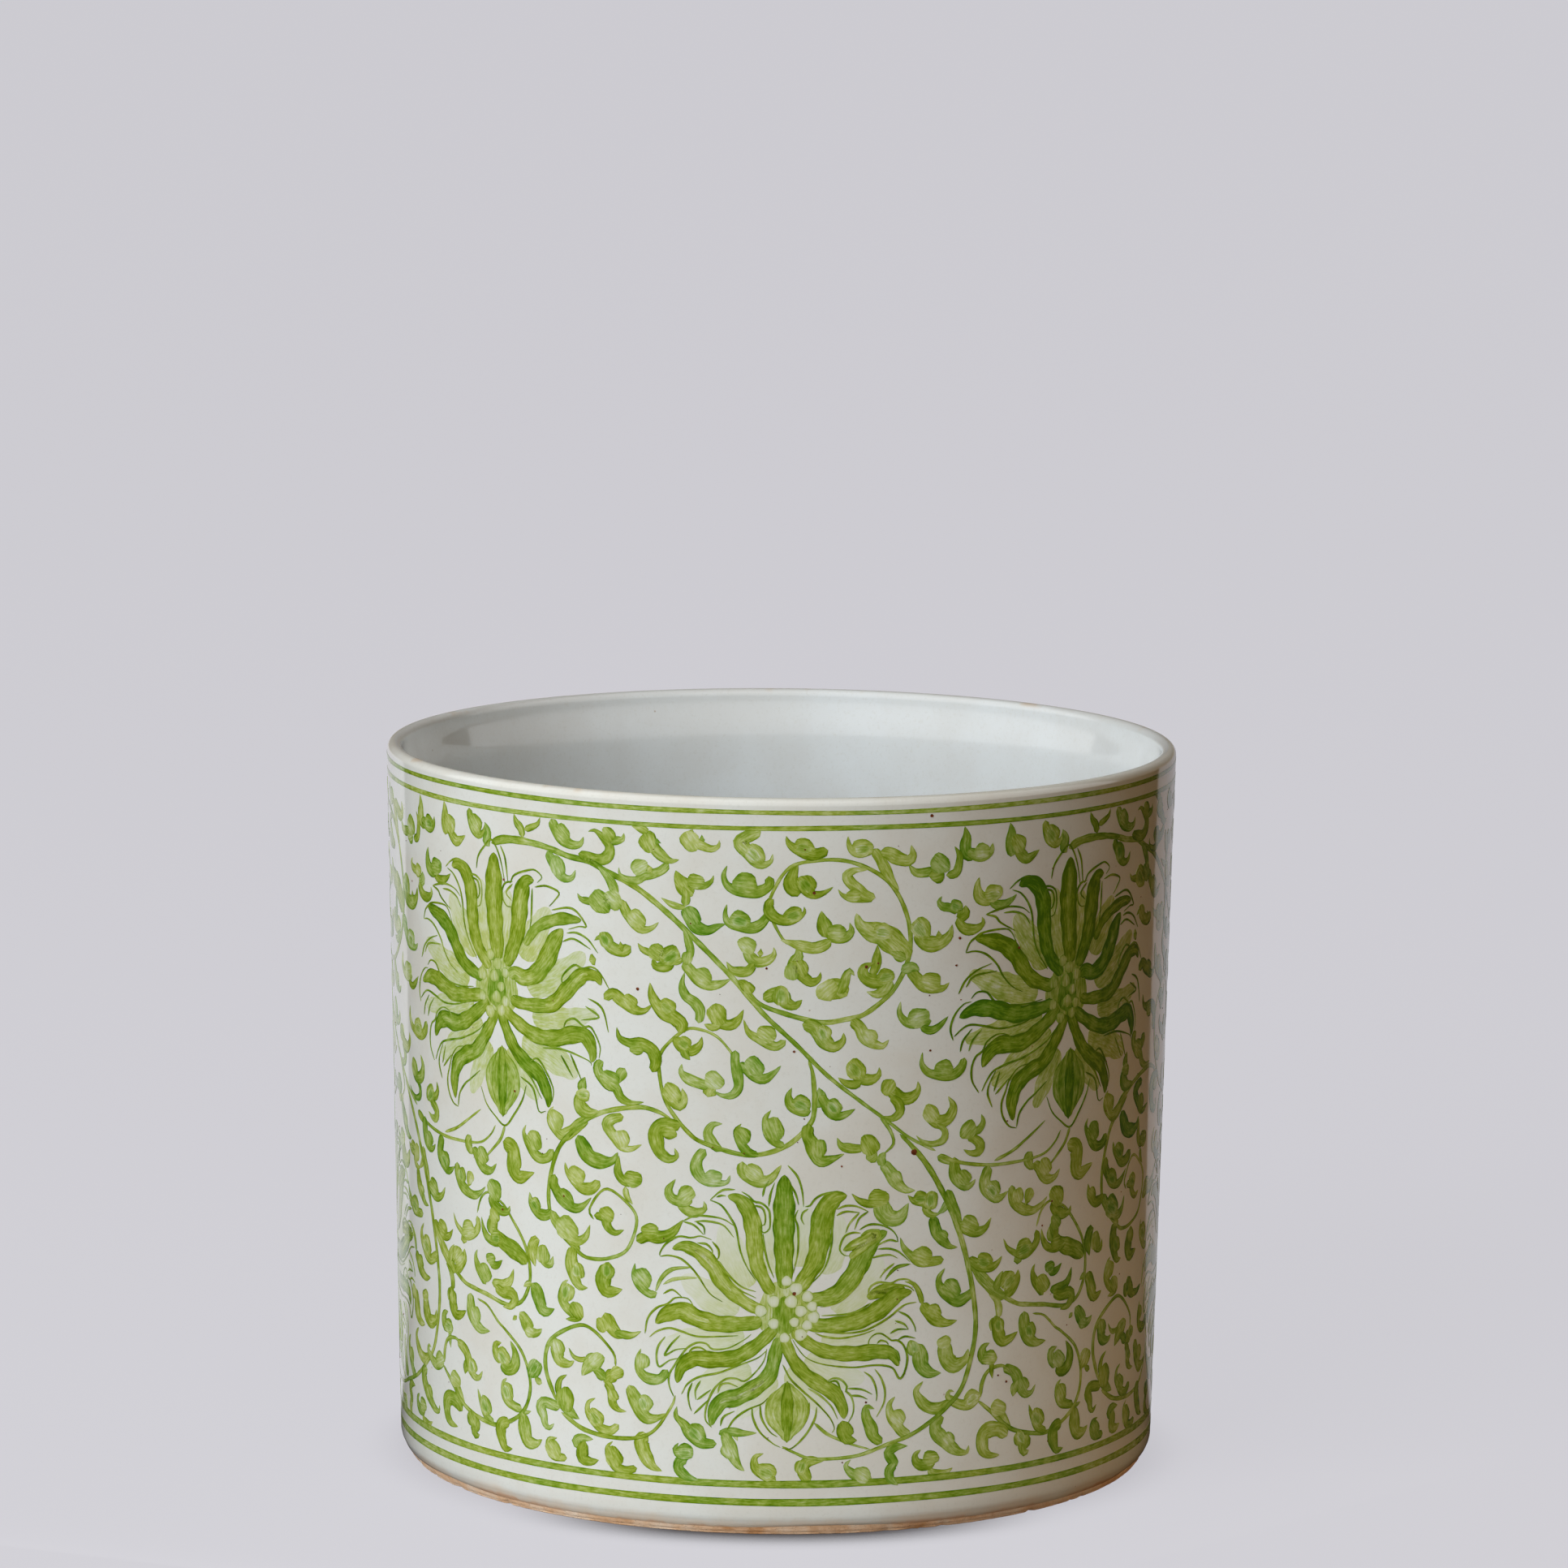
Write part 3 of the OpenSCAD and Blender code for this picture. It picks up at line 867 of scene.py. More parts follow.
LOWER_PETALS = [
    (3.2, [(2, 115), (2, 105), (2, 95), (2.3, 82)]),
    (3.2, [(21.5, 108.3), (18, 107.5), (15, 104.5), (13.5, 99), (13, 93), (11.5, 87), (8, 81)]),
    (3.0, [(34.5, 96.5), (30, 94), (27.5, 90), (25, 85), (21.5, 80), (17, 76.5), (11.5, 75.5)]),
    (1.7, [(20.5, 91), (25, 93), (31, 95.5)]),
    (2.8, [(43, 77), (38, 76), (34, 73), (29, 70), (22, 67.8), (12, 67.5)]),
    (1.6, [(29, 77), (33, 78.3), (39, 77.8)]),
    (2.4, [(39, 53.5), (36.5, 57.5), (32, 58.5), (26, 58.2), (19, 58.5), (13, 60), (7, 64)]),
    (2.3, [(21.5, 37.5), (21, 41), (18.5, 45.5), (14, 48.5), (9, 52), (5, 57), (3, 62)]),
    (2.6, [(-15.5, 108), (-12, 107), (-9, 103.5), (-7.5, 98), (-7, 92), (-6, 86), (-3, 80)]),
    (2.4, [(-33, 90.5), (-29, 91.5), (-24, 89.5), (-20, 85.5), (-17, 80.5), (-12, 76),
           (-7, 73)]),
    (2.8, [(-38.5, 66.5), (-35, 69.5), (-30, 71), (-25, 69), (-18, 67.5), (-8, 68)]),
    (2.5, [(-31.5, 48), (-30, 53), (-26, 56), (-20, 56), (-13, 57), (-7, 60.5), (-2, 65)]),
    (2.6, [(-20.5, 35), (-19.5, 39.5), (-17, 43), (-12, 44.5), (-6, 48), (-2, 52), (0, 60)]),
]
LOWER_BUD = (6.5, (3.5, 40), 9.8)
LOWER_OUTLINES = [
    [(3, 118), (6, 114.5), (7.5, 110), (8, 105)],
    [(3.5, 112.5), (5.5, 109), (6.5, 105.5)],
    [(6.3, 104), (5.4, 101.5), (6.2, 99), (6.5, 95), (6.3, 90), (5, 84)],
    [(9.5, 104.3), (7.8, 103), (7.4, 101), (8.3, 99.3)],
    [(8.5, 105), (10, 105.3), (11.5, 107.3), (14, 108.8), (18, 109.5), (20.5, 108.5)],
    [(19, 106.5), (17.5, 103), (17, 98), (16.7, 92), (15, 86), (12, 82), (9.5, 80.2)],
    [(14.8, 90), (13.5, 87), (11, 84), (8.5, 82)],
    [(18.5, 104), (21, 105), (24.5, 104.8), (28.3, 103)],
    [(18.3, 102), (21, 103.2), (25.5, 102.8)],
    [(25.5, 102.8), (22.5, 99.5), (21.2, 96.5)],
    [(28.3, 103), (25.5, 101), (24, 97.5)],
    [(25.5, 97.3), (28.5, 98.8), (32, 98.7), (35.5, 97.2), (37.5, 95), (38, 93)],
    [(26, 95.5), (28.5, 97), (32, 97.2)],
    [(26, 96.3), (23.5, 96.5), (21, 95.5), (19.7, 93), (19.5, 91), (20.8, 89.5), (22.5, 89.2)],
    [(38, 93), (35.5, 93.7), (33, 93), (31, 91.8)],
    [(31.5, 91), (35, 91), (38, 90), (40.5, 88), (42, 86.5)],
    [(29.5, 88.2), (32, 88.8), (35.5, 89), (38, 87.8)],
    [(27.5, 85), (26.5, 82), (24, 78.5), (20, 75), (16, 73.5), (13.5, 73.3)],
    [(13.5, 74.3), (17, 74.8), (21, 76.3), (24.5, 79)],
    [(37, 86.3), (34, 84), (32.3, 81.8)],
    [(30, 76), (28.8, 77.5), (29.5, 79.3), (32, 80.5), (36, 80), (38.5, 81), (42, 80.7),
     (44.5, 78)],
    [(35, 77.8), (38.5, 79.2), (42, 78.5), (43.7, 77)],
    [(44.5, 73.5), (41, 73), (38.5, 71.5), (36, 69.5), (32, 67.2), (27, 65.2), (20, 64.8),
     (14, 65.5), (11.5, 66.3)],
    [(29.5, 74), (26, 72), (22, 70.8), (14, 70.5)],
    [(38.5, 71), (42, 69), (44, 66), (44.5, 64)],
    [(37.5, 68), (40.5, 66.8), (42, 65)],
    [(-4.7, 108), (-4, 111), (-2.5, 113.5)],
    [(-2.8, 105), (-2.2, 109), (-1, 112.5)],
    [(-13.2, 110.1), (-17, 109.8), (-20, 107.5), (-21, 106.5)],
    [(-21, 106.5), (-17.5, 105), (-14.5, 101), (-12.8, 97.5), (-11.5, 91), (-9.5, 86),
     (-6.5, 81.5)],
    [(-19, 107.5), (-17.5, 108.1), (-16, 108)],
    [(-11.2, 109.5), (-9, 108.2), (-7.3, 106.5), (-5, 106), (-2.8, 104), (-2.3, 101),
     (-2.5, 98), (-4, 96.7), (-5, 97.5), (-5, 100)],
    [(-7.5, 105.3), (-4.8, 104.5), (-3.8, 102), (-4, 99.3), (-5.3, 99)],
    [(-4.5, 96.5), (-4, 92), (-2.8, 87), (-1, 82.5)],
    [(-29.5, 99.5), (-26, 101.2), (-22, 101.4), (-17, 100.7), (-13.2, 98.5)],
    [(-29.5, 99.3), (-26, 98.3), (-23, 95.5)],
    [(-26, 99.5), (-22, 99.8), (-17, 98.8), (-13.5, 95)],
    [(-25.5, 99.5), (-23, 98), (-22.7, 95.5)],
    [(-37, 88), (-37, 89), (-35, 92), (-31, 94.5), (-27, 94.3), (-24, 95), (-20.5, 94)],
    [(-37, 87.8), (-34, 88.3), (-30.3, 87.5), (-27, 85), (-24.5, 82), (-21, 77), (-17, 74.5)],
    [(-25, 92.8), (-22, 92.5), (-20.2, 90.5), (-20.5, 88.8)],
    [(-20.3, 93.5), (-18.3, 91), (-18.3, 88.5), (-19.5, 87)],
    [(-18.3, 87.5), (-15, 83), (-11, 79.5), (-6.5, 78)],
    [(-18.5, 86.5), (-13, 79.5), (-6.5, 76)],
    [(-42, 63), (-41, 68), (-38, 71.5), (-34.5, 73), (-32, 75), (-28, 75), (-26, 72.5)],
    [(-36, 76), (-33, 77.5), (-30, 75.5)],
    [(12, 65), (15, 63.8), (20, 63.2), (26, 64), (31, 65.5)],
    [(28.9, 60.5), (29.3, 62.5), (31, 64), (33, 64.2), (35, 63), (36.5, 61.8), (38.5, 61.7),
     (40.5, 60), (41.8, 56.5), (41.5, 53), (40.3, 50), (39.2, 49.6), (38.3, 51), (37, 53),
     (34, 54), (30, 54.2), (25, 53.8), (19, 54.3), (13, 55.5), (9, 57.5), (6.5, 60.5), (5, 63)],
    [(31.8, 61), (33, 62), (35, 61.3), (35.5, 60.3)],
    [(36.5, 59.2), (38.5, 58), (39.5, 55)],
    [(36, 64), (38.5, 65.2), (42, 65)],
    [(38.5, 61.8), (41, 62.8), (44.5, 62)],
    [(27.7, 52.3), (30, 50.5), (31.5, 47.5), (32, 44.5), (31.8, 42.8)],
    [(31.2, 53), (33.3, 50), (34.6, 46), (34.3, 42), (32, 37.7)],
    [(16, 49.5), (18, 50.6), (20.5, 50), (22.3, 47.8), (22, 46.3), (23.5, 45), (24.5, 42),
     (24.3, 39), (22.7, 36)],
    [(16.5, 49.3), (19, 49.6), (20.5, 46.5)],
    [(20.5, 45), (22, 42.5), (22.5, 39.5)],
    [(22.5, 47.2), (27, 46.7), (30.5, 45)],
    [(23, 44.9), (26.5, 44.6), (29, 43.5)],
    [(10, 47.5), (14, 45), (17.5, 41.5), (19.5, 37.5)],
    [(2, 55), (4.5, 50.5), (8.5, 46.5), (13, 42.5), (17, 38), (18.5, 34.5), (17.7, 33.3)],
    [(12.8, 41.5), (12.3, 38), (10, 33.5), (7, 30), (4.5, 28.2), (2, 28.5)],
    [(10.5, 43), (10, 39), (8.5, 35)],
    [(-7.5, 41.5), (-7.2, 38), (-5, 33.5), (-1, 30), (1.5, 28.7)],
    [(-5, 42.5), (-4.5, 38), (-2, 33.8), (0.5, 32)],
    [(-40.5, 62), (-38, 64), (-34, 65.3), (-30, 64.5), (-25, 63.2), (-18, 63.5), (-12, 64)],
    [(-35.3, 62.5), (-37.5, 59.5), (-38.2, 56), (-37.3, 52.8), (-34, 55), (-30.5, 56)],
    [(-30.5, 63.2), (-33.5, 60), (-35.5, 56.5), (-32, 58.5), (-28.5, 59.2)],
    [(-32.5, 43.5), (-34, 47), (-34, 50.5), (-32, 54), (-30, 57), (-28, 59.5), (-25, 61.2),
     (-22, 61), (-20, 59.4), (-15, 60), (-10, 62.8), (-8, 64.5)],
    [(-28, 57), (-26.5, 59.2), (-24, 59.7), (-21.3, 58.3)],
    [(-30, 44.5), (-28, 48), (-24, 50.5), (-18, 52), (-12, 54.5), (-6, 57), (-3, 59.5)],
    [(-26.5, 48.5), (-27.8, 45), (-27.5, 41.5), (-26.7, 39.3)],
    [(-23.8, 49.3), (-25.5, 46), (-25.3, 43)],
    [(-26, 38.5), (-23.5, 41), (-21, 43.5)],
    [(-25, 43), (-22.5, 45), (-20.5, 46.5)],
    [(-20.3, 34.5), (-22.3, 37), (-22, 41), (-20.5, 45), (-18.5, 48), (-15.5, 50.2),
     (-12.5, 50.3), (-10, 49.6), (-7, 52), (-4, 56), (-3, 60)],
    [(-18.3, 45.5), (-17.5, 48), (-15, 48.8), (-12, 47.7)],
    [(-17.5, 35), (-16.5, 38), (-13, 40)],
    [(-15.3, 34), (-13, 37.5), (-9, 40.5), (-4.5, 42.5), (-2.5, 44.5)],
]
LOWER_DABS = [
    (1.3, 0.7, [(42.3, 85.7), (38, 85), (35.5, 83), (34, 81)]),
    (1.5, 0.5, [(-38.5, 76.5), (-36.5, 81), (-33, 84), (-27, 85)]),
    (1.2, 0.3, [(-36, 79), (-33, 80.7), (-29, 81.5), (-25, 81.7)]),
]
SEEDS = [(3, 81.5), (6, 79), (9.5, 76.5), (4.5, 75), (7.5, 72), (11, 73.5), (11.5, 70),
         (5.5, 68.5), (9.5, 67.5), (7.5, 64.5), (2.5, 63.5), (-1, 75), (-5, 72), (-1, 68)]
LOWER_WASHES = [
    (3.4, [(18, 103), (18, 94), (13, 84)]), (3.4, [(33, 88), (27, 80), (17, 72.5)]),
    (3.2, [(41, 67), (30, 64), (14, 61.5)]), (3.2, [(28, 50), (18, 52), (9, 57)]),
    (2.6, [(15, 40), (10, 46), (4, 54)]), (3.6, [(-17, 99), (-14, 90), (-9, 79)]),
    (3.4, [(-30, 82), (-22, 77), (-12, 71.5)]), (3.2, [(-36, 60), (-26, 62), (-10, 64)]),
    (3.0, [(-27, 44), (-20, 49), (-8, 54)]), (2.6, [(-12, 38), (-6, 45), (-1, 52)]),
    (3.0, [(8.5, 106), (8, 96), (6, 86)]), (3.0, [(-3.5, 104), (-3, 94), (-0.5, 84)]),
]


def petal_shape(points, half):
    """A petal's middle line with its half-width: pointed at the tip, narrow at the base."""
    path = smooth_path(points, 1.0)
    t = np.linspace(0, 1, len(path))
    rise = np.sin(np.clip(t / 0.34, 0, 1) * math.pi / 2) ** 0.5
    fall = 1 - 0.36 * np.clip((t - 0.34) / 0.66, 0, 1) ** 1.6
    width = PETAL_SPREAD * half * np.maximum(rise, 0.14) * fall
    return [(s, z, w) for (s, z), w in zip(path, width)]


def wash_shape(points, half):
    """A thin wash, narrow towards the petal's tip, with its half-width."""
    path = smooth_path(points, 1.0)
    t = np.linspace(0.12, 1, len(path))
    width = WASH_SPREAD * half * np.sin(np.clip(t / 0.75, 0, 1) * math.pi / 2) ** 0.8
    return [(s, z, w) for (s, z), w in zip(path, width)]


def paint_lotus(painting, petals, outlines, washes, dabs, bud, heart, wet):
    """One lotus: pale washes first, then loaded petals, then fine outlines over both."""
    whole = (1.0, 0.01, 1.0)
    for half, points in washes:
        painting.stroke(wash_shape(points, half), 0, wet, 0.2, whole, fade=0.16, rim=0.05,
                        step=2.0, columns=5, layer=-1)
    painting.spot(*heart, 9.5, 0.34, 0.2, rim=0.0, lift=0.028)
    for half, points in petals:
        lean = 0.55 * random.random() ** 2
        loaded = random.uniform(0.42, 0.60) + 0.3 * wet
        s, z = points[-1]
        root = (s + 0.30 * (heart[0] - s), z + 0.30 * (heart[1] - z))
        painting.stroke(petal_shape(points + [root], half), 0, loaded + 0.10, lean, whole,
                        fade=-0.10, step=1.2, columns=9)
        glow = petal_shape(points[1:-1] if len(points) > 4 else points, half * 0.24)
        painting.stroke([(s, z, w) for s, z, w in glow[3:-3]], 0, loaded - 0.10, lean, whole,
                        rim=0.0, step=2.0, columns=3)
    for width, tone, points in dabs:
        painting.stroke(points, width, tone, 0.4, (0.3, 0.4, 0.3))
    for points in outlines:
        painting.stroke(points, 0.74, random.uniform(0.60, 0.80), random.uniform(0.1, 0.4),
                        (0.5, 0.3, 0.35), rim=0.2, step=0.8, columns=3, layer=1)
    paint_bud(painting, *bud)


def paint_bud(painting, half, center, tall):
    """The hanging bud under a lotus: striped lengthwise, with a point at the bottom."""
    s, z = center
    for place in (-0.72, -0.38, 0.0, 0.38, 0.72):
        bow = place * half
        reach = tall * (1 - 0.35 * place * place)
        points = [(s + bow * 0.25, z + reach), (s + bow, z + reach * 0.35),
                  (s + bow, z - reach * 0.3), (s + bow * 0.2, z - reach)]
        painting.stroke(points, half * 0.62, 0.50 + 0.14 * math.cos(5 * place), 0.35,
                        (0.3, 0.45, 0.3), rim=0.7, columns=5)


def paint_seeds(painting, seeds, dark, clear):
    """Seed heads in a lotus's heart: white rounds left clear, each ringed in green."""
    painting.spot(*dark, 4.2, 0.62, 0.5, rim=0.0, lift=0.034, squash=1.5)
    for s, z in seeds:
        radius = random.uniform(1.5, 2.0)
        painting.spot(s, z, radius, clear, 0.2, rim=0.5, lift=0.082)
        ring = [(s + radius * math.cos(a), z + radius * math.sin(a))
                for a in np.linspace(0, 2 * math.pi, 9)]
        painting.stroke(ring, 0.42, 0.5, 0.5, (1, 0.5, 1), rim=0.2, step=0.8, columns=3)


def paint_lotuses(upper, lower):
    """The two lotuses of one repeat. The upper one has only the middle seeds of the lower."""
    paint_lotus(upper, UPPER_PETALS, UPPER_OUTLINES, UPPER_WASHES, [], UPPER_BUD, (-97, 167),
                0.10)
    over, up = (-102.5, 95)
    middle = 4
    near = [(s + over, z + up) for s, z in SEEDS if abs(s - middle) < 7]
    paint_seeds(upper, near, (-97, 166), 0.20)
    paint_lotus(lower, LOWER_PETALS, LOWER_OUTLINES, LOWER_WASHES, LOWER_DABS, LOWER_BUD,
                (3, 72), 0.0)
    paint_seeds(lower, SEEDS, (2.5, 70.5), 0.05)


# Curled leaves of one repeat: (width, middle line from the tail's point to the rounded root,
# side lobe as (s, z, radius) or None).
LEAVES = [
    (2.4, [(-32, 112.5), (-34.2, 109), (-33, 106.3), (-29, 105.6), (-26.7, 107)],
     (-29, 108.6, 2.3)),
    (2.3, [(-23, 106), (-22.6, 103.8), (-25.5, 102.3), (-29, 103.3), (-31, 105.5)], None),
    (2.8, [(-29.5, 99.8), (-33, 95.7), (-37, 93.9), (-41, 94), (-44.8, 92)], (-40.3, 96.2, 2.2)),
    (2.0, [(-45.3, 85), (-45.6, 81), (-43, 77.3), (-40, 75.5), (-38, 76.2)], (-42.3, 81, 2.7)),
    (2.2, [(-50.6, 118.5), (-51, 113.5), (-49, 110.8), (-45.3, 110.3)], (-45.8, 112, 2.4)),
    (1.4, [(-46, 103.5), (-48, 106), (-48.5, 109)], None),
    (2.7, [(-14.8, 114.5), (-15.7, 112.4), (-18.5, 112), (-23, 113), (-25.3, 116), (-24.9, 119.4),
     (-22.5, 122.4)], (-20, 114.4, 2.1)),
    (2.8, [(1, 118), (-2, 114), (-5, 112.8), (-8, 113.6), (-10.8, 116), (-11, 119)],
     (-7, 116.2, 2.3)),
    (1.7, [(23, 108.8), (25.5, 106.5), (29.5, 105.2), (31.5, 106.5)], (31.5, 107.3, 2.6)),
    (4.0, [(41.3, 105), (38.7, 101), (35.5, 100.6), (33, 103), (32.2, 107.5)], None),
    (2.0, [(41, 107.5), (43, 105.7), (46, 105), (48.5, 103)], (45.2, 107, 1.9)),
    (1.8, [(52, 101), (49, 100.8), (47, 102.8), (48, 105.5)], (48.9, 105.4, 2.3)),
    (2.2, [(53, 91), (50.5, 95), (49.3, 99.5)], None),
    (3.0, [(43.4, 108.9), (40.5, 109.2), (38, 111), (35.5, 114.5), (32.5, 118.5)],
     (37.5, 113.7, 1.6)),
    (2.3, [(38.8, 94.2), (40, 91), (43, 88), (46.5, 86), (53.6, 86.3)], (46.5, 88.6, 2.7)),
    (1.3, [(40.5, 80.3), (43.5, 79.3), (45.5, 76.3), (46.6, 72.5)], None),
    (2.9, [(58.7, 66.5), (55, 66), (51.5, 67.3), (48.6, 70), (46.3, 73)], (51, 70.6, 2.0)),
    (3.6, [(53.5, 50.2), (49.5, 50.6), (46.8, 53), (46, 57), (45, 60.3)], (43, 58.8, 1.9)),
    (2.7, [(47.3, 48), (45, 45.3), (46.3, 42.3), (49, 39.8), (53, 39), (57, 40.8)], None),
    (2.5, [(38, 43.8), (36.2, 41.5), (36.6, 38.3), (38.8, 34.8), (40.7, 32.4), (43.5, 31)],
     (39.4, 37.6, 2.2)),
    (2.8, [(31.3, 40.3), (28.8, 41), (28.6, 38), (30.2, 34.5), (31.2, 31.5), (34, 29.2)], None),
    (3.6, [(25.8, 30.5), (23, 30.9), (21.9, 33.5), (21, 37)], None),
    (2.4, [(42.5, 27.8), (38.5, 27.7), (36.2, 26), (37.5, 23.5), (39, 21.5)], None),
    (2.3, [(39.5, 15.5), (37, 17.6), (36.5, 20.3), (38.5, 22.6)], None),
    (2.4, [(47, 26.2), (45.2, 24.8), (45.5, 22.5), (48, 21.1), (52, 21.2)], (50.5, 24.1, 2.2)),
    (2.2, [(23.8, 24.4), (22.3, 22.6), (24, 20.4), (27, 18.6), (31, 17.6)], (27.8, 19.8, 2.3)),
    (2.8, [(15.5, 24.5), (10.5, 24.2), (8.7, 22.2), (9.4, 19.7), (11, 17.6)], (7.9, 22.5, 1.9)),
    (2.3, [(-3.8, 26.7), (-6.4, 25.5), (-6.5, 22.5), (-4, 20), (0.3, 17.6)], (-2.6, 21.4, 2.5)),
    (1.9, [(-6, 33.2), (-10, 33), (-15, 33.4), (-18, 32.4)], None),
    (3.0, [(-9.8, 21), (-11.7, 22.6), (-13.6, 26), (-15, 30), (-16.5, 33)], (-15.9, 26.8, 1.7)),
    (2.6, [(-31.5, 40.5), (-31.8, 37.5), (-29, 34.8), (-27, 31.7), (-23.5, 29.5), (-18.7, 29.3)],
     (-24.7, 32.9, 2.6)),
    (1.8, [(-31, 28.9), (-32.1, 27), (-30.5, 25.1), (-27, 24.6)], (-29, 26.9, 2.3)),
    (2.5, [(-24.5, 17.6), (-28, 18.3), (-30.8, 20.5), (-30.6, 23), (-28, 24)], None),
    (3.5, [(-36.5, 19.5), (-39.5, 20.8), (-41.3, 23), (-42.8, 26), (-43.2, 29), (-41, 30.8)], None),
    (2.4, [(-43.4, 58), (-44.4, 55), (-43.8, 51), (-41, 48.8), (-37, 49), (-34.5, 52)],
     (-41.9, 54, 1.9)),
    (3.3, [(-35.3, 38), (-37.5, 36.6), (-41, 36), (-43.5, 38), (-45.5, 42), (-47.6, 46)],
     (-40.9, 41.2, 2.1)),
    (1.8, [(-43.3, 63.5), (-47, 61.9), (-52.5, 62.3)], None),
    (1.1, [(-12, 30.5), (-13, 32.5), (-14, 33)], None),
    (2.4, [(-97, 53), (-99.6, 52), (-99.3, 49), (-97, 46.5)], (-95.4, 49.5, 2.4)),
    (2.9, [(-92.8, 54.2), (-90.8, 51), (-90.6, 48), (-92, 45.6), (-95, 44.9), (-97, 46.8)], None),
    (2.4, [(-94.7, 42), (-96.2, 40.3), (-96, 37), (-94, 34.6), (-91, 33.4), (-88, 33)],
     (-93.8, 38, 2.4)),
    (3.2, [(-92.5, 19.6), (-95.5, 19.2), (-97, 21.5), (-97.8, 24.5), (-96.8, 27), (-93.5, 28.2)],
     None),
    (3.7, [(-79.8, 24.6), (-82, 23.1), (-85.5, 23.1), (-86.8, 26), (-87.2, 29), (-87.8, 32)], None),
    (1.1, [(-84.2, 33), (-86, 32.4), (-88, 32)], None),
    (2.2, [(-84.4, 43), (-84.2, 46), (-83, 48.5)], (-82.2, 46.8, 2.5)),
    (1.6, [(-82.6, 44.5), (-81, 43.2), (-79.6, 42.7)], None),
    (2.7, [(-74.9, 30.4), (-76.8, 28.8), (-78.4, 29.8), (-79, 32.3), (-80.1, 34.8), (-79, 36.7),
     (-76, 36.6), (-72.5, 35.8)], None),
    (2.2, [(-73.8, 26), (-76.8, 25), (-77, 22.5), (-75, 20.2), (-70, 20)], (-74.9, 22.4, 2.6)),
    (2.3, [(-60.2, 27.3), (-64, 27.3), (-66.4, 25.8), (-64.5, 24.2)], None),
    (3.0, [(-58.2, 20.9), (-61, 20.1), (-63.9, 20.8), (-64, 23.6), (-63, 26.3)], None),
    (2.1, [(-53.2, 27.5), (-55, 25.5), (-54.6, 22.5), (-52.5, 19.7), (-49, 18.7), (-44.8, 19.7)],
     (-52.3, 22.8, 2.7)),
    (2.2, [(-59.3, 40.6), (-61.8, 39), (-62, 36), (-59.6, 33), (-57.3, 31.2), (-54, 30.8),
     (-51, 33)], (-58.8, 34.8, 2.4)),
    (2.2, [(-48.4, 37.5), (-51, 37.8), (-53, 39.5), (-53.4, 42), (-54, 44.5), (-55.8, 46.4)],
     (-52.7, 42.3, 1.6)),
    (3.2, [(-56.3, 46), (-54, 48), (-51.8, 49.8)], (-51.6, 49.4, 1.9)),
    (1.2, [(-69, 55.5), (-67.2, 53), (-64.5, 52.3), (-62, 53)], None),
    (3.5, [(-64.2, 47.3), (-62.2, 50), (-60, 52.6), (-58, 54.2)], (-58.7, 52.5, 2.3)),
    (2.4, [(-60.5, 49.8), (-58, 49), (-55.6, 46.8)], None),
    (3.2, [(-67, 51.6), (-69, 50.4), (-72.3, 51), (-73.5, 54), (-74.4, 56.2), (-76.8, 55.8)],
     (-72.6, 55.4, 2.1)),
    (1.7, [(-69.8, 46.8), (-72.3, 45), (-73.2, 42), (-72, 38.7)], (-69.9, 38.9, 3.1)),
    (2.6, [(-65.2, 33.2), (-67.6, 34.4), (-70, 36), (-72.6, 37.4)], None),
    (3.2, [(-79.4, 60.2), (-81, 58.8), (-83.6, 58.5), (-85.3, 60.5), (-87, 62.8), (-88.6, 64.2)],
     (-84.5, 58, 1.5)),
    (1.1, [(-91.6, 61.2), (-89.8, 62.8)], None),
    (3.8, [(63, 57), (62, 53.8), (58.3, 52.3), (55.5, 54.4), (54.6, 57.8), (54.3, 60.5)],
     (54.3, 60, 1.9)),
    (2.4, [(70.9, 58), (68.7, 57), (68.2, 54.6), (69.2, 52.7), (71, 52.4)], (71.1, 53.6, 2.2)),
    (1.3, [(72.3, 46.5), (71.9, 49), (72, 52)], None),
    (3.1, [(81.8, 60.3), (79, 58.6), (76, 58), (74.4, 60.3), (73.6, 63), (72.8, 66.5)],
     (74.8, 63.3, 1.8)),
    (1.8, [(71.3, 61.8), (71.8, 64), (73, 66)], None),
    (3.3, [(94, 55.8), (90, 55.7), (87, 57.2), (85, 60), (84.5, 63), (84.3, 66.5)],
     (88, 60.4, 2.0)),
    (2.4, [(58.2, 43.8), (56.6, 44.2), (56, 42.6), (57.6, 41), (60.5, 39.5), (64, 39.2),
     (67.5, 41)], (64.5, 41.6, 2.4)),
    (2.0, [(80.3, 29.8), (77.8, 32.5), (75.8, 35), (73.4, 37)], (75, 37, 2.4)),
    (1.3, [(75.5, 38), (76.6, 37.4), (77.3, 36.8)], None),
    (2.7, [(90, 42.2), (88.5, 40), (86, 39.7), (84, 41.6), (82.8, 44.4), (81, 47.4), (76.5, 49.6)],
     (85.4, 43.2, 2.0)),
    (2.4, [(80.6, 39.6), (81.2, 42), (82.5, 44.5)], None),
    (2.0, [(87.5, 36), (88.4, 33.5), (90, 30.6), (92, 28), (95.6, 26.4)], (92, 31.6, 2.5)),
    (3.6, [(75.8, 21.5), (72, 21.9), (69.7, 23.6), (69, 26.5), (69.6, 29), (72, 30.2), (75.7, 29.6),
     (78.8, 27.2)], None),
    (3.3, [(88, 21.3), (86.3, 20.8), (85.6, 22.6), (86.3, 25), (85.6, 26.6)], (83.4, 25.2, 2.1)),
    (3.2, [(64, 26), (63.4, 24), (60.5, 24.3), (57, 26.7), (54, 29.5), (52, 32), (52.2, 34.8),
     (54.8, 35.8)], (57, 29.1, 1.9)),
    (1.9, [(58.3, 19.4), (55.8, 18.2), (52, 18.2), (49.5, 19.5)], None),
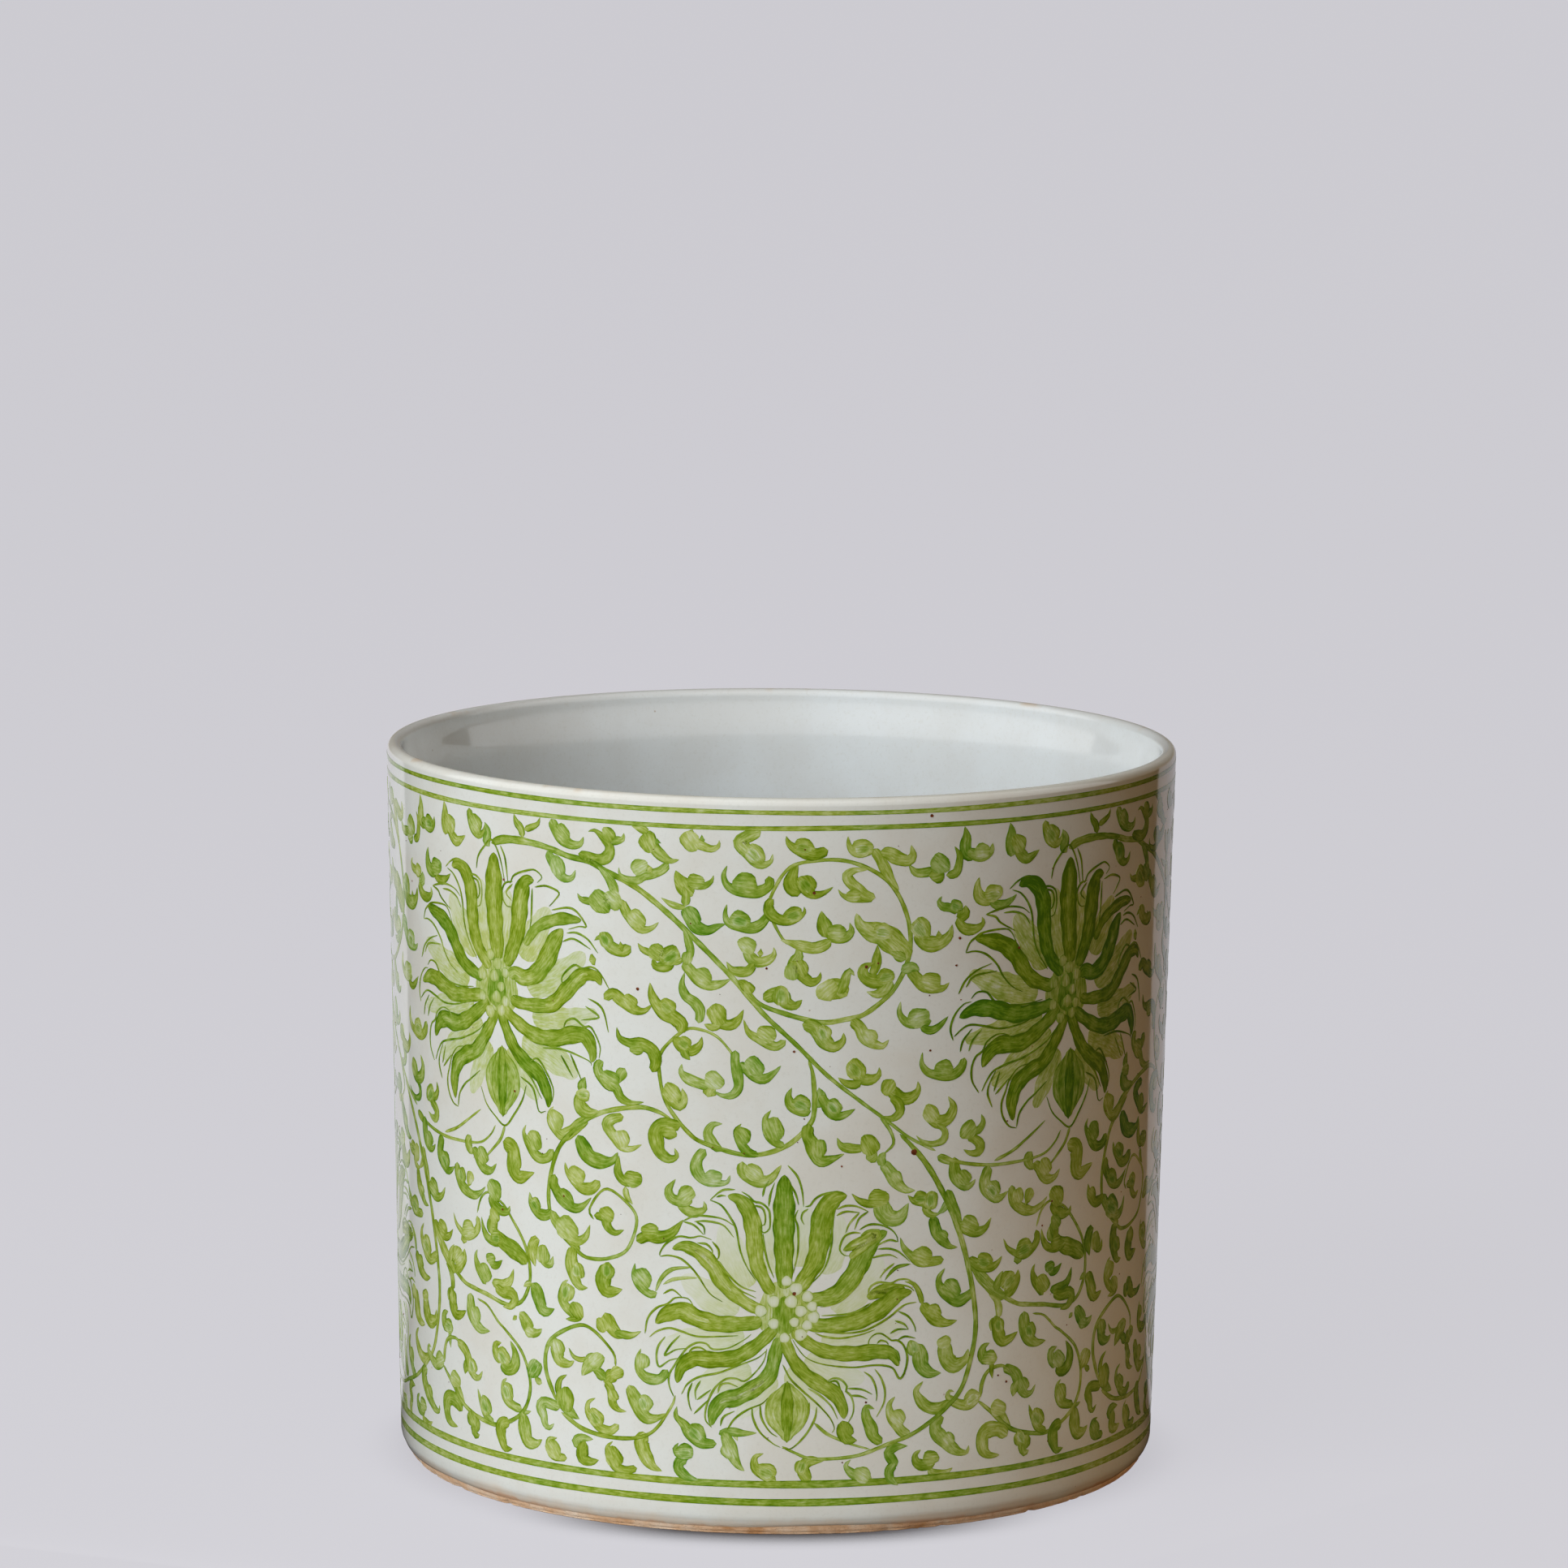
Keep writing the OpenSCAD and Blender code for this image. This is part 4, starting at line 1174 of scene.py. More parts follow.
    (4.1, [(-81.8, 109.7), (-85, 108.4), (-88.3, 107.4), (-90.3, 109.5), (-90.2, 113), (-91, 116.3),
     (-95, 117.7)], None),
    (2.8, [(-92.3, 97.6), (-93.2, 95.7), (-96.5, 95.6), (-99.5, 97.2), (-101.5, 100)],
     (-98.4, 102.4, 2.8)),
    (4.0, [(-99.5, 92), (-99, 88.5), (-96, 85.8), (-91, 83.8), (-87, 81.7), (-85.3, 80)], None),
    (3.0, [(-81.8, 79.8), (-83, 84), (-82, 87.6), (-80, 88.4)], None),
    (2.2, [(-74.7, 84), (-75.6, 81.4), (-78, 82), (-80, 85.5)], (-78.4, 84, 2.4)),
    (2.5, [(-83.8, 103.2), (-82.9, 99.5), (-80, 96.9), (-76.8, 97), (-75, 98.6)],
     (-81.2, 99.9, 1.9)),
    (2.8, [(-60.8, 95.6), (-62.5, 91.6), (-66, 90), (-70, 92.4), (-73.8, 96), (-75, 98.6)],
     (-69, 93.9, 3.4)),
    (3.3, [(-61.8, 75.5), (-64.5, 75.5), (-66.4, 78), (-67.4, 81.5), (-67.7, 84.5), (-67, 88)],
     (-64.4, 80.7, 2.0)),
    (2.4, [(-64.8, 86.3), (-66, 87.8), (-67.8, 87.6)], None),
    (3.7, [(-49.6, 76.3), (-52.5, 75.4), (-55.3, 75.4), (-56.3, 78.3), (-55.8, 81), (-55.4, 84)],
     (-54.2, 81.6, 2.1)),
    (2.2, [(-69, 77.2), (-70.5, 76), (-71.4, 73), (-71.4, 70.5), (-69, 67.7), (-66.5, 65.7)],
     (-68.5, 73, 2.3)),
    (2.2, [(-70, 64.6), (-67, 65), (-65, 66.5), (-66, 68.8), (-68.4, 69.6)], (-66, 67.7, 2.2)),
    (3.3, [(-48, 61.3), (-51.5, 62.2), (-54, 64.8), (-55.7, 68.3)], (-57.6, 63.8, 1.9)),
    (2.4, [(-91, 77.6), (-92.3, 74), (-95, 72), (-98.5, 71.8), (-101, 71.6)], None),
    (2.8, [(-96, 64.8), (-92.5, 65.5), (-90.6, 68), (-92, 69.6), (-96, 69.4), (-99.5, 70.8)], None),
    (3.5, [(-74.3, 67.3), (-77, 66), (-79, 66.5), (-80.3, 69.3), (-81.5, 72.3), (-83.2, 74.3)],
     None),
    (1.6, [(-86.7, 72.7), (-85, 73.8), (-83, 74)], None),
    (1.8, [(-96, 79.7), (-98.5, 77.7), (-102, 77.3)], (-101.6, 80, 1.7)),
    (2.7, [(-69.8, 114.4), (-69, 111.6), (-66, 108.9), (-63.3, 107), (-60, 107.4), (-57.3, 109.9)],
     (-65.2, 111.4, 2.5)),
    (2.7, [(-60.3, 104.3), (-63.2, 101.5), (-66, 100.3), (-69.3, 101.3), (-72.5, 104.4),
     (-74.2, 107.3), (-73.7, 110.2)], (-69.6, 103.2, 2.6)),
    (2.2, [(-49, 95.2), (-52, 94), (-54.5, 95.6), (-55.7, 98.4), (-59.4, 98.8)],
     (-54.5, 100.1, 2.1)),
    (2.9, [(64.2, 110.8), (62.6, 109.2), (60.5, 108.9), (58, 111), (56.7, 114), (56.5, 118.5)],
     (60.6, 112.3, 2.1)),
    (3.0, [(76.5, 105.8), (74, 104.2), (71.8, 104), (69, 106.4), (67.6, 109.5), (68.1, 112),
     (69, 114.7)], (71.2, 107.5, 2.4)),
    (2.5, [(59.8, 96.5), (57.5, 100.7), (55.4, 105), (54.3, 108.4)], None),
    (1.6, [(51, 100.9), (53.3, 102.5), (54.8, 105.5)], None),
    (2.7, [(58.3, 89.8), (55.5, 90.3), (53, 92.6), (51, 95.3), (50, 98), (49.5, 100.5)],
     (53.1, 94.2, 1.6)),
    (2.4, [(70.3, 98), (68.3, 95.1), (65, 94), (61.5, 95), (58.3, 97.6)], (62.9, 97.4, 2.5)),
    (2.6, [(92.8, 102), (90.5, 99.9), (87, 98.4), (83, 99.2), (79.8, 101.2), (78.3, 104),
     (78, 107.5)], (81.5, 104.2, 1.9)),
    (1.6, [(83.5, 100.5), (84.5, 102), (85.5, 103.5)], (84.9, 103.8, 1.7)),
    (2.6, [(98.2, 110.2), (96, 107.9), (93, 107.6), (90.5, 109.3), (88.6, 112), (86.5, 113.5)],
     (92.4, 112.3, 2.3)),
    (2.6, [(88, 112.6), (85.6, 112.6), (84.3, 115), (85.8, 117.3)], None),
    (2.0, [(75.3, 90.7), (77, 87.6), (80.5, 85.4), (83.5, 84.6), (87, 86.2), (89, 89), (88.4, 92)],
     (83.4, 87.8, 2.6)),
    (2.6, [(83.2, 84.2), (81.3, 83.6), (80, 84.8)], None),
    (3.2, [(97.2, 86), (96.2, 88.5), (96.3, 91.5), (97, 94)], (97.1, 93.4, 2.0)),
    (2.1, [(90.7, 92), (91.5, 88.6), (93.5, 86), (97, 85), (102, 86)], (97.4, 87.2, 1.8)),
    (1.7, [(94, 92), (94.3, 89.6), (95.3, 87.3)], None),
    (2.5, [(74.8, 85.3), (73, 83.2), (70, 82.1), (66, 83.5), (62.3, 86)], (68.5, 85.3, 2.3)),
    (2.8, [(62.2, 86.3), (64.5, 82.6), (68, 78.7), (72.5, 74.5), (76.5, 71.6)], None),
    (2.9, [(81.4, 80.2), (81, 77.2), (78.7, 74.5), (76.5, 72)], (76.5, 78.3, 2.5)),
    (2.2, [(75.3, 80.5), (73.8, 77.6), (72.6, 74.5)], None),
    (2.2, [(88.3, 81.1), (87.4, 79), (88.1, 76.5), (90, 73.6), (92.4, 70.6)], (92.7, 74.8, 2.5)),
    (2.7, [(54, 83.4), (52, 80.6), (52.6, 77.6), (55.6, 74.4), (59, 72.7), (62, 73.8),
     (64.6, 75.4)], (57, 77.5, 2.7)),
    (1.8, [(70.2, 73.5), (73, 71.5), (74.2, 68.5), (74, 65.5)], None),
    (2.7, [(-74, 131.6), (-75.5, 129.6), (-75.4, 127), (-73.5, 124.6), (-70.5, 123), (-67, 124.8),
     (-64.5, 127), (-61.3, 129.2)], (-72.6, 127.9, 2.6)),
    (3.3, [(-57.3, 131.8), (-61, 131.2), (-63.6, 132.3), (-64.3, 134.6), (-63, 136.8)],
     (-63, 136.4, 1.9)),
    (2.2, [(-62.3, 142.2), (-63.3, 139.6), (-63.5, 137)], None),
    (3.7, [(-51, 119.5), (-52.8, 116.8), (-57, 116.1), (-61, 117.2), (-63.2, 120.3), (-65, 123.6)],
     None),
    (2.5, [(-42.3, 136), (-46.5, 135.5), (-49.8, 136.8), (-51.6, 139.8), (-54.3, 140.8),
     (-57.2, 143.6), (-57.7, 146.3), (-55.8, 147.6)], (-53.3, 142.6, 2.7)),
    (2.6, [(-51.2, 141), (-49.9, 144), (-48.5, 146.2)], None),
    (2.6, [(-43, 122.6), (-46.5, 121), (-49.5, 121.3), (-51.5, 123.8), (-53.6, 126), (-54.6, 128),
     (-53, 129.8), (-49, 131)], (-48.9, 124.4, 2.2)),
    (2.4, [(-85, 124.4), (-86, 122), (-84.5, 119), (-82.3, 116.2), (-79.3, 114.6), (-76.2, 115.3),
     (-74.2, 118)], (-80.8, 120.6, 2.6)),
    (2.7, [(-39.5, 166.8), (-42, 164.7), (-45, 164.8), (-49, 167), (-52.5, 169.3), (-55.5, 167.3)],
     (-46.4, 167.6, 2.0)),
    (2.9, [(-51.2, 158.8), (-50.2, 155.6), (-47, 154.3), (-43, 154.2), (-39.6, 152.6),
     (-38.3, 149.2), (-39.5, 145.6)], (-44.6, 151.9, 1.7)),
    (3.4, [(-40.2, 173.6), (-39.6, 170), (-38, 167), (-35.3, 164.6), (-32.3, 163), (-30.2, 161),
     (-31, 158.5)], (-33.9, 167.2, 2.1)),
    (2.4, [(-29.2, 177.4), (-30, 173.6), (-28.8, 170.2), (-26, 168.2), (-24.3, 165.5),
     (-24.8, 161.8)], None),
    (2.5, [(-10.9, 166.5), (-12.5, 163.4), (-15, 161.6), (-18.5, 162.4), (-20.8, 164.8)],
     (-18.6, 165, 2.7)),
    (1.9, [(-23, 161.6), (-20.5, 160.7), (-17.8, 161.8)], None),
    (2.1, [(-10.9, 163.4), (-9.4, 159.6), (-6.5, 157.6), (-3, 155.8), (-0.5, 155.3), (2, 157.2)],
     (-3.3, 159.9, 2.4)),
    (2.6, [(-23.7, 157.6), (-24.4, 155), (-27, 153), (-30, 154.3), (-32.6, 157.2)],
     (-29, 155.8, 1.9)),
    (1.9, [(-27.4, 150.2), (-28.7, 151.6), (-29.8, 153.8)], None),
    (2.9, [(-29.9, 141.2), (-29.4, 138.2), (-30.8, 135.8), (-33, 137.7), (-36.3, 140.3)],
     (-32.8, 140, 2.5)),
    (2.5, [(-30, 148.8), (-30.2, 146.3), (-28, 144.3), (-24.5, 143), (-21.3, 142.2)],
     (-19.4, 144.8, 2.5)),
    (3.2, [(-19.6, 142.5), (-21.3, 140.6), (-21.8, 138.8)], None),
    (2.3, [(-20, 140.8), (-17.5, 139.5), (-14.5, 139.6), (-12.4, 142), (-12.6, 146), (-13.4, 150),
     (-13.4, 153.8)], None),
    (2.4, [(0.6, 149.2), (-1.2, 147.2), (-4.5, 145), (-7.5, 145.8), (-9.8, 148), (-12.6, 149.6)],
     (-7, 149.3, 2.6)),
    (3.4, [(-32.3, 122.2), (-31.6, 119.8), (-34, 118.8), (-37, 120.7), (-38.1, 124), (-38.3, 127),
     (-36, 129.2), (-30.3, 129.4)], (-34, 126, 1.8)),
    (2.3, [(-17.3, 130.6), (-20.3, 130.2), (-21.8, 127.6), (-20.5, 124.7), (-17.6, 121.9)], None),
    (2.0, [(-11.4, 130.8), (-13, 128.6), (-12, 125.4), (-9.5, 122.2), (-6, 121)],
     (-10.4, 127.5, 2.2)),
    (2.1, [(-2.3, 135.2), (-4, 132.6), (-3.4, 128.6), (-1, 125.3), (2, 124)], (-0.8, 129.6, 2.9)),
    (3.3, [(19.7, 159.3), (19.5, 156.8), (16.8, 155), (14, 156.8), (12, 159.5), (10.3, 161.4),
     (7, 162.2)], (14.2, 159.6, 2.0)),
    (2.9, [(33.9, 156.7), (32, 154.9), (29, 155.8), (26.2, 158.2), (24.6, 161), (22, 163.4)],
     (28.4, 158.5, 1.9)),
    (2.1, [(37.5, 168.5), (37.2, 165), (39.3, 162.2), (43, 161.3), (47.7, 162)],
     (43.3, 163.9, 2.8)),
    (1.8, [(53.3, 163), (50.5, 160.3), (47.5, 159), (44, 160.2)], None),
    (2.5, [(31, 148.2), (31, 146), (28.5, 144.5), (25, 145), (22.6, 147)], (24.1, 148.1, 2.7)),
    (1.9, [(18.2, 145.4), (20.5, 143.7), (23.5, 143), (25.5, 144)], None),
    (2.9, [(43.6, 143.2), (43.8, 140.6), (41.5, 138.3), (38.5, 138.2), (35.6, 140.3),
     (33.7, 142.4)], (33.9, 142, 2.1)),
    (2.2, [(32.3, 132.8), (35.5, 132), (37.9, 133.8), (37.4, 136.6), (34.8, 139)], None),
    (2.5, [(4, 142.3), (3, 139.6), (4, 136.8), (7, 135), (10, 135)], (7.3, 138.2, 2.3)),
    (2.5, [(23.6, 135.4), (21, 134), (18, 133.3), (15.6, 135.3), (14, 138), (12.6, 140)],
     (17.7, 136.8, 2.0)),
    (3.0, [(12.3, 142.3), (12.9, 139.4), (11.4, 136)], None),
    (3.1, [(20.4, 121.4), (17, 120), (13.2, 119.2), (11.4, 121.6), (10.4, 124.6), (9, 127.6),
     (9.4, 131)], (13, 123.4, 2.3)),
    (2.2, [(18.2, 126.5), (19.5, 124), (23, 123), (26.5, 123)], (29, 124.3, 2.7)),
    (3.3, [(30.7, 122), (29, 120.4), (27.3, 119.6)], None),
    (2.2, [(33.6, 121.6), (32.2, 119.6), (32.8, 117)], None),
    (2.9, [(53.9, 137.8), (55.7, 134.6), (54.4, 131.2), (51, 130), (48, 131.6), (46.2, 133.4)],
     (48.5, 133, 2.4)),
    (1.6, [(43.4, 126.2), (45.5, 124.2), (49, 123.2), (52.5, 124.2), (53, 127), (50.3, 129.5)],
     None),
    (2.4, [(44.9, 152.2), (44.8, 148.6), (47, 145.8), (51, 144.8), (55, 144.4), (58, 146.3),
     (59.3, 149.6)], (52.4, 147.4, 2.5)),
    (1.8, [(65.8, 131.2), (66.5, 128.6), (64.8, 126.3), (62, 126)], (60.9, 126.9, 2.5)),
    (2.3, [(59.7, 120.6), (62, 119.3), (64.8, 119.3), (65.6, 121.6), (63.5, 123.6), (60.8, 124.6)],
     None),
    (1.9, [(58, 116.2), (54.5, 117.5), (50.6, 119.2)], None),
    (2.0, [(-88.6, 222), (-87.6, 219.6), (-85.8, 217.8), (-85, 215)], None),
    (1.5, [(-78.2, 222), (-79, 220), (-81.6, 218.6), (-84.4, 217.6)], None),
    (2.8, [(-62.3, 217.4), (-63.4, 215.2), (-66.3, 214.6), (-69.5, 216), (-72, 218.4), (-74, 222)],
     (-69.6, 218.4, 2.3)),
    (2.5, [(-65.2, 206.8), (-66.4, 204.4), (-69, 203.9), (-71.6, 205.8), (-73.6, 208.6),
     (-75.6, 211.8)], (-71.4, 207.6, 2.5)),
    (2.6, [(-60.6, 219.2), (-58.6, 219.8), (-56.5, 218.6), (-54.8, 217), (-53.4, 215),
     (-53.8, 212.4), (-57, 210.7), (-64.2, 212)], (-53.1, 219.4, 1.9)),
    (1.8, [(-48.6, 219.6), (-49, 217.8), (-51, 217.2), (-53.6, 216.4)], None),
    (1.7, [(-64.6, 199.6), (-63.4, 198), (-60.6, 197.5), (-57.4, 197)], (-56.6, 197.8, 3.1)),
    (2.2, [(-57.4, 208.6), (-54, 205.6), (-52.1, 202.4), (-51.6, 199.4)], (-52.6, 198.2, 2.6)),
    (2.8, [(-58.7, 185.4), (-56.8, 186.6), (-54.6, 185), (-52.2, 183.4), (-49, 182.9),
     (-46.4, 184.6)], (-54.6, 186, 2.1)),
    (3.0, [(-50.6, 184), (-48.6, 184.4)], None),
    (3.6, [(-60.6, 179), (-58.2, 179.6)], None),
    (2.5, [(-101.4, 218), (-100, 215), (-100.7, 212.4), (-99.4, 210.6)], None),
    (2.2, [(-50.3, 208.8), (-50, 206.8), (-47.6, 205.4), (-44.4, 205.2), (-42.2, 206.9),
     (-39, 207.7), (-36.4, 208.9), (-34.2, 211)], (-44.2, 210.4, 2.2)),
    (3.6, [(-41, 208.6), (-39.4, 209.4)], None),
    (2.7, [(-31, 212.4), (-33.2, 211.9), (-35.5, 212.7), (-38, 214.8), (-39.8, 217.6),
     (-40.2, 221)], (-41.3, 216.9, 2.4)),
    (3.6, [(-38.4, 217), (-37.8, 218.6)], None),
    (1.8, [(-46, 222), (-43, 221.4), (-40.4, 220)], None),
    (2.2, [(-18.6, 218.9), (-18.8, 217.2), (-21, 216.2), (-24.2, 217.2), (-27.6, 219),
     (-26.8, 222)], (-27.7, 218.2, 2.6)),
    (3.8, [(-24.8, 218.8), (-23, 218.8)], None),
    (3.6, [(-32, 209), (-31, 206.6), (-29, 203.8), (-26.8, 201.2)], None),
    (1.6, [(-20.3, 208), (-20.9, 206.2), (-23.2, 204.6), (-26, 204.6), (-28.4, 205.4)],
     (-25.7, 206.4, 2.1)),
    (2.0, [(-29.6, 204.2), (-28.8, 201), (-29.2, 198)], None),
    (1.4, [(-36.6, 200.3), (-33.6, 198.6), (-31, 197.8), (-28.8, 197.7)], None),
    (2.8, [(-16.6, 193.1), (-19, 192.2), (-22, 190.9), (-25.4, 191.7), (-27.8, 194.6),
     (-29.4, 197.8)], (-26.7, 195.3, 2.4)),
    (2.4, [(-16.2, 199.1), (-16.7, 196.2), (-15.8, 193.6), (-12.6, 192.5), (-9, 191.9), (-6, 193.1),
     (-3.4, 196.4)], (-12, 195.2, 2.5)),
    (2.5, [(-16.2, 211.1), (-17.2, 208), (-16, 205), (-12.8, 203.5), (-9.4, 203), (-6, 203.5),
     (-3.4, 205.4), (-3.5, 208.2)], (-10.5, 206.9, 2.9)),
    (2.9, [(-2.4, 215), (-3, 212.7), (-5.5, 211.6), (-8, 212.9), (-10.2, 215.8), (-12.4, 218.6),
     (-9.4, 220.6), (-6, 222)], (-7.2, 215.3, 2.5)),
    (2.4, [(-37.4, 192.6), (-39.6, 190.7), (-42.5, 190), (-45, 191.6), (-47.4, 194.4),
     (-48.8, 196.9), (-49.4, 199)], (-44.2, 193.6, 2.5)),
    (1.7, [(-44.1, 185.7), (-42.8, 184), (-40.4, 183), (-37.6, 182)], (-37.6, 183.4, 2.4)),
    (2.5, [(-39.2, 181.4), (-38.4, 179), (-35.2, 179), (-32.8, 181)], (-34.2, 183, 2.7)),
    (1.4, [(-34.6, 180), (-32, 180.5), (-29.4, 181.6)], None),
    (1.9, [(-29.8, 191.6), (-28.3, 188), (-27.4, 184), (-28.8, 180.6)], (-28.5, 182, 1.6)),
    (2.8, [(-14.8, 176), (-18, 174.4), (-21.6, 173.8), (-25, 175.8), (-27.8, 178.6),
     (-29.6, 180.8)], (-23.3, 176.9, 2.4)),
    (2.5, [(-1.9, 186.1), (-1.7, 184), (-3.6, 182.1), (-6.6, 181.4), (-9, 183), (-10.4, 186)],
     (-9.8, 186.8, 2.3)),
    (2.8, [(-6.8, 184.3), (-5, 184.1)], None),
    (2.3, [(-16.2, 181.3), (-14.6, 179), (-12, 178.3), (-9.5, 178.7), (-7.8, 181)], None),
    (2.2, [(-12.8, 175.6), (-10.8, 174.4), (-9.6, 172)], (-9, 173.5, 1.5)),
    (3.4, [(6.9, 169.8), (4.8, 168), (2.2, 168.8), (0.6, 171), (-2, 171.2), (-5, 169.8)],
     (0.3, 171, 2.4)),
    (2.8, [(1.6, 220.6), (2.3, 218.6), (4.3, 216.8), (7.5, 215.6), (10.4, 215), (14.3, 216.2)],
     (7, 217.7, 2.5)),
    (3.3, [(5.3, 211.6), (3.8, 209), (3.2, 206), (4.4, 203.9), (6.6, 203.6)], None),
    (1.8, [(15.9, 204.8), (13.5, 203.2), (10.5, 202.4), (7.6, 203.4), (5.4, 205.8)],
     (8.5, 206, 2.5)),
    (2.5, [(26.4, 210), (22.6, 209.9), (20.2, 208.4), (21.2, 206.2), (23.4, 204.2), (25.6, 202.2),
     (29, 201.2)], None),
    (1.8, [(17.5, 204), (18.9, 202.2), (21.6, 201.2), (25, 201), (28.6, 201)], (22.3, 202.7, 1.7)),
    (2.0, [(20.3, 220.4), (20.6, 217.8), (22.1, 215.8), (24.8, 215.2), (28.4, 216.2)],
     (24.7, 217.4, 2.5)),
    (2.4, [(36.4, 203.4), (34, 206.6), (32, 210), (30, 213.6), (28, 216.4)], None),
    (3.0, [(40, 217.1), (40.6, 214), (39.2, 212.4), (36, 213.2), (33, 214.9), (30.4, 215.6)], None),
    (2.2, [(39.4, 211.1), (41.5, 208.7), (44.4, 208.4), (48, 209)], (50.1, 211.6, 2.7)),
    (4.4, [(45.8, 207.4), (48, 207.6), (51, 208.8)], None),
    (2.0, [(54.3, 216), (56, 213), (55.7, 209.6), (54.6, 207.6), (51.6, 207.2)], None),
    (2.5, [(7.2, 198.7), (7.3, 197), (5.2, 195.2), (2, 194.5), (-1, 195), (-3.2, 197),
     (-3.4, 199.6), (-2, 201)], (3.8, 196.9, 2.2)),
    (3.2, [(12.5, 197.4), (12.8, 195), (13.6, 192.2), (14.4, 189)], None),
    (2.3, [(21.2, 193.6), (21.7, 191), (19.8, 189.1), (17, 188.8), (14.4, 189.6)],
     (17.2, 191.6, 2.2)),
    (2.6, [(0.2, 188.4), (3, 187.6), (6.6, 186.6), (10, 185.9), (13, 186.6), (15.6, 188.2)], None),
    (2.6, [(5.2, 186.4), (5.7, 183.6), (4.2, 181.2), (3.2, 178.4)], (3.8, 178.5, 2.1)),
    (2.6, [(12.4, 178.4), (12, 176.4), (9.6, 175.3), (7, 177.2), (4.8, 179.6), (3.2, 182)],
     (6.8, 179.8, 2.1)),
    (2.2, [(22.8, 177.2), (21.4, 178.7), (20.3, 177), (19.6, 174.4), (18, 171.6)], None),
    (4.6, [(13.2, 171.4), (15, 173.4), (18.4, 172.6), (20.6, 170.8)], (14.6, 172.6, 2.8)),
    (5.2, [(23.2, 196.5), (24.4, 193), (27.6, 190.9), (31.4, 189.7), (35, 187), (38, 184),
     (39, 181.4)], (31.6, 191, 2.4)),
    (2.2, [(34.3, 184.2), (36.4, 182.9), (39, 181.6)], None),
    (2.2, [(29.9, 186.5), (29.8, 183), (29.5, 180), (28.2, 177)], None),
    (3.0, [(29, 181), (26, 179.7), (25.6, 177.4), (27.6, 175.6), (31, 175), (33.6, 176)],
     (32.5, 177, 2.2)),
    (2.3, [(26.7, 172), (29.6, 171.2), (32.6, 172.4), (34.6, 175.4)], None),
    (2.9, [(53.4, 173.6), (51.4, 172), (47.6, 172.2), (44.4, 173.8), (42, 176.2), (40, 178.8)],
     (47.5, 175, 2.6)),
    (2.6, [(43.4, 178), (41, 179.2), (37.4, 178.2)], None),
    (3.4, [(54, 191.6), (53.2, 188.6), (50.8, 186.6), (47.4, 186), (44.4, 187), (42.2, 190)],
     (44.3, 191.5, 2.8)),
    (3.2, [(50.6, 188.6), (48.6, 188.4)], None),
    (2.0, [(50.3, 200.7), (49.4, 199.2), (50.6, 197.6), (53.2, 197), (56, 195.4)],
     (55.5, 198, 1.7)),
    (2.9, [(58.4, 197.4), (58.2, 195), (55.4, 194)], None),
    (2.5, [(64.3, 193.3), (64.8, 191.6), (63, 190.1), (60, 189.7), (57.5, 190.7), (55.6, 193.6)],
     None),
    (2.8, [(63, 205.8), (62.4, 203), (63, 200.2), (65.2, 198.6), (68.4, 198.2)],
     (68.3, 201.4, 2.5)),
    (2.1, [(76.8, 199.4), (75, 197.9), (72, 196.7), (69.4, 196.8), (67, 198)], None),
    (2.9, [(57.6, 222), (58.3, 219), (57.9, 216), (58.7, 213.4), (61.6, 212.6)], None),
    (2.7, [(67.5, 216.2), (67, 213.8), (64.6, 212.5), (61.2, 213.2), (58.6, 214.4)],
     (63.8, 214.5, 2.2)),
    (2.9, [(73.8, 222), (74.4, 219), (74.1, 216), (74.7, 213), (75.8, 212)], None),
    (2.6, [(85.3, 212.6), (83, 211.2), (80.5, 210.3), (78, 212), (76, 214.6)], (77.6, 215.6, 2.4)),
    (2.4, [(95.1, 217.5), (94.4, 215), (92, 213.7), (89.6, 215.4), (88.2, 218), (87.4, 221.6)],
     (91, 217.4, 2.6)),
]


def paint_leaves(painting):
    """Each leaf is one loaded stroke that ends in a curled tail, with a dab for its lobe."""
    for width, points, lobe in LEAVES:
        lean = 0.75 * random.random() ** 2
        loaded = random.uniform(0.32, 0.58)
        painting.stroke(points, width * LEAF_SPREAD, loaded + 0.02, lean, (0.10, 0.62, 0.7),
                        fade=0.08, step=0.9, columns=7)
        if lobe:
            s, z, radius = lobe
            near = min(smooth_path(points, 0.8), key=lambda p: math.hypot(p[0] - s, p[1] - z))
            turn = math.atan2(z - near[1], s - near[0])
            painting.spot(s + 0.25 * (near[0] - s), z + 0.25 * (near[1] - z), radius * LOBE_SPREAD,
                          loaded - 0.06, lean, rim=1.2, lift=0.078, squash=1.16, turn=turn,
                          one_side=1.0)
            if random.random() < 0.35:
                painting.spot(0.5 * (s + near[0]), 0.5 * (z + near[1]), radius * 0.6,
                              loaded + 0.10, min(1, lean + 0.45), rim=-0.7, lift=0.081,
                              squash=1.5, turn=turn)


# How much darker each repeat's upper lotus and leaves are drawn: (lotus, leaves). The small amounts
# are differences in pigment load between repeats; the large amounts on the second repeat (turn 1),
# which faces the shaded right side in the front view, are painted shade.
PIGMENT_LOAD_AND_PAINTED_SHADE = [(0.03, 0.0), (0.20, 0.10), (0.06, 0.0), (0.0, 0.0)]


def paint_repeat(turn, material):
    """One quarter of the scroll pattern, as four pieces. Turn 0 is at the front."""
    vines, leaves, upper, lower = [Painting() for _ in range(4)]
    for painting in (vines, leaves, upper, lower):
        painting.shift = turn * REPEAT_S
    # Darker tones: pigment load, and painted shade on the repeat that faces the shaded right side.
    upper.load_and_shade, leaves.load_and_shade = PIGMENT_LOAD_AND_PAINTED_SHADE[turn]
    paint_vines(vines)
    paint_lotuses(upper, lower)
    paint_leaves(leaves)
    vines.finish(f"vine_scrolls_{turn + 1}", material)
    leaves.finish(f"leaves_{turn + 1}", material)
    upper.finish(f"upper_lotus_{turn + 1}", material)
    lower.finish(f"lower_lotus_{turn + 1}", material)


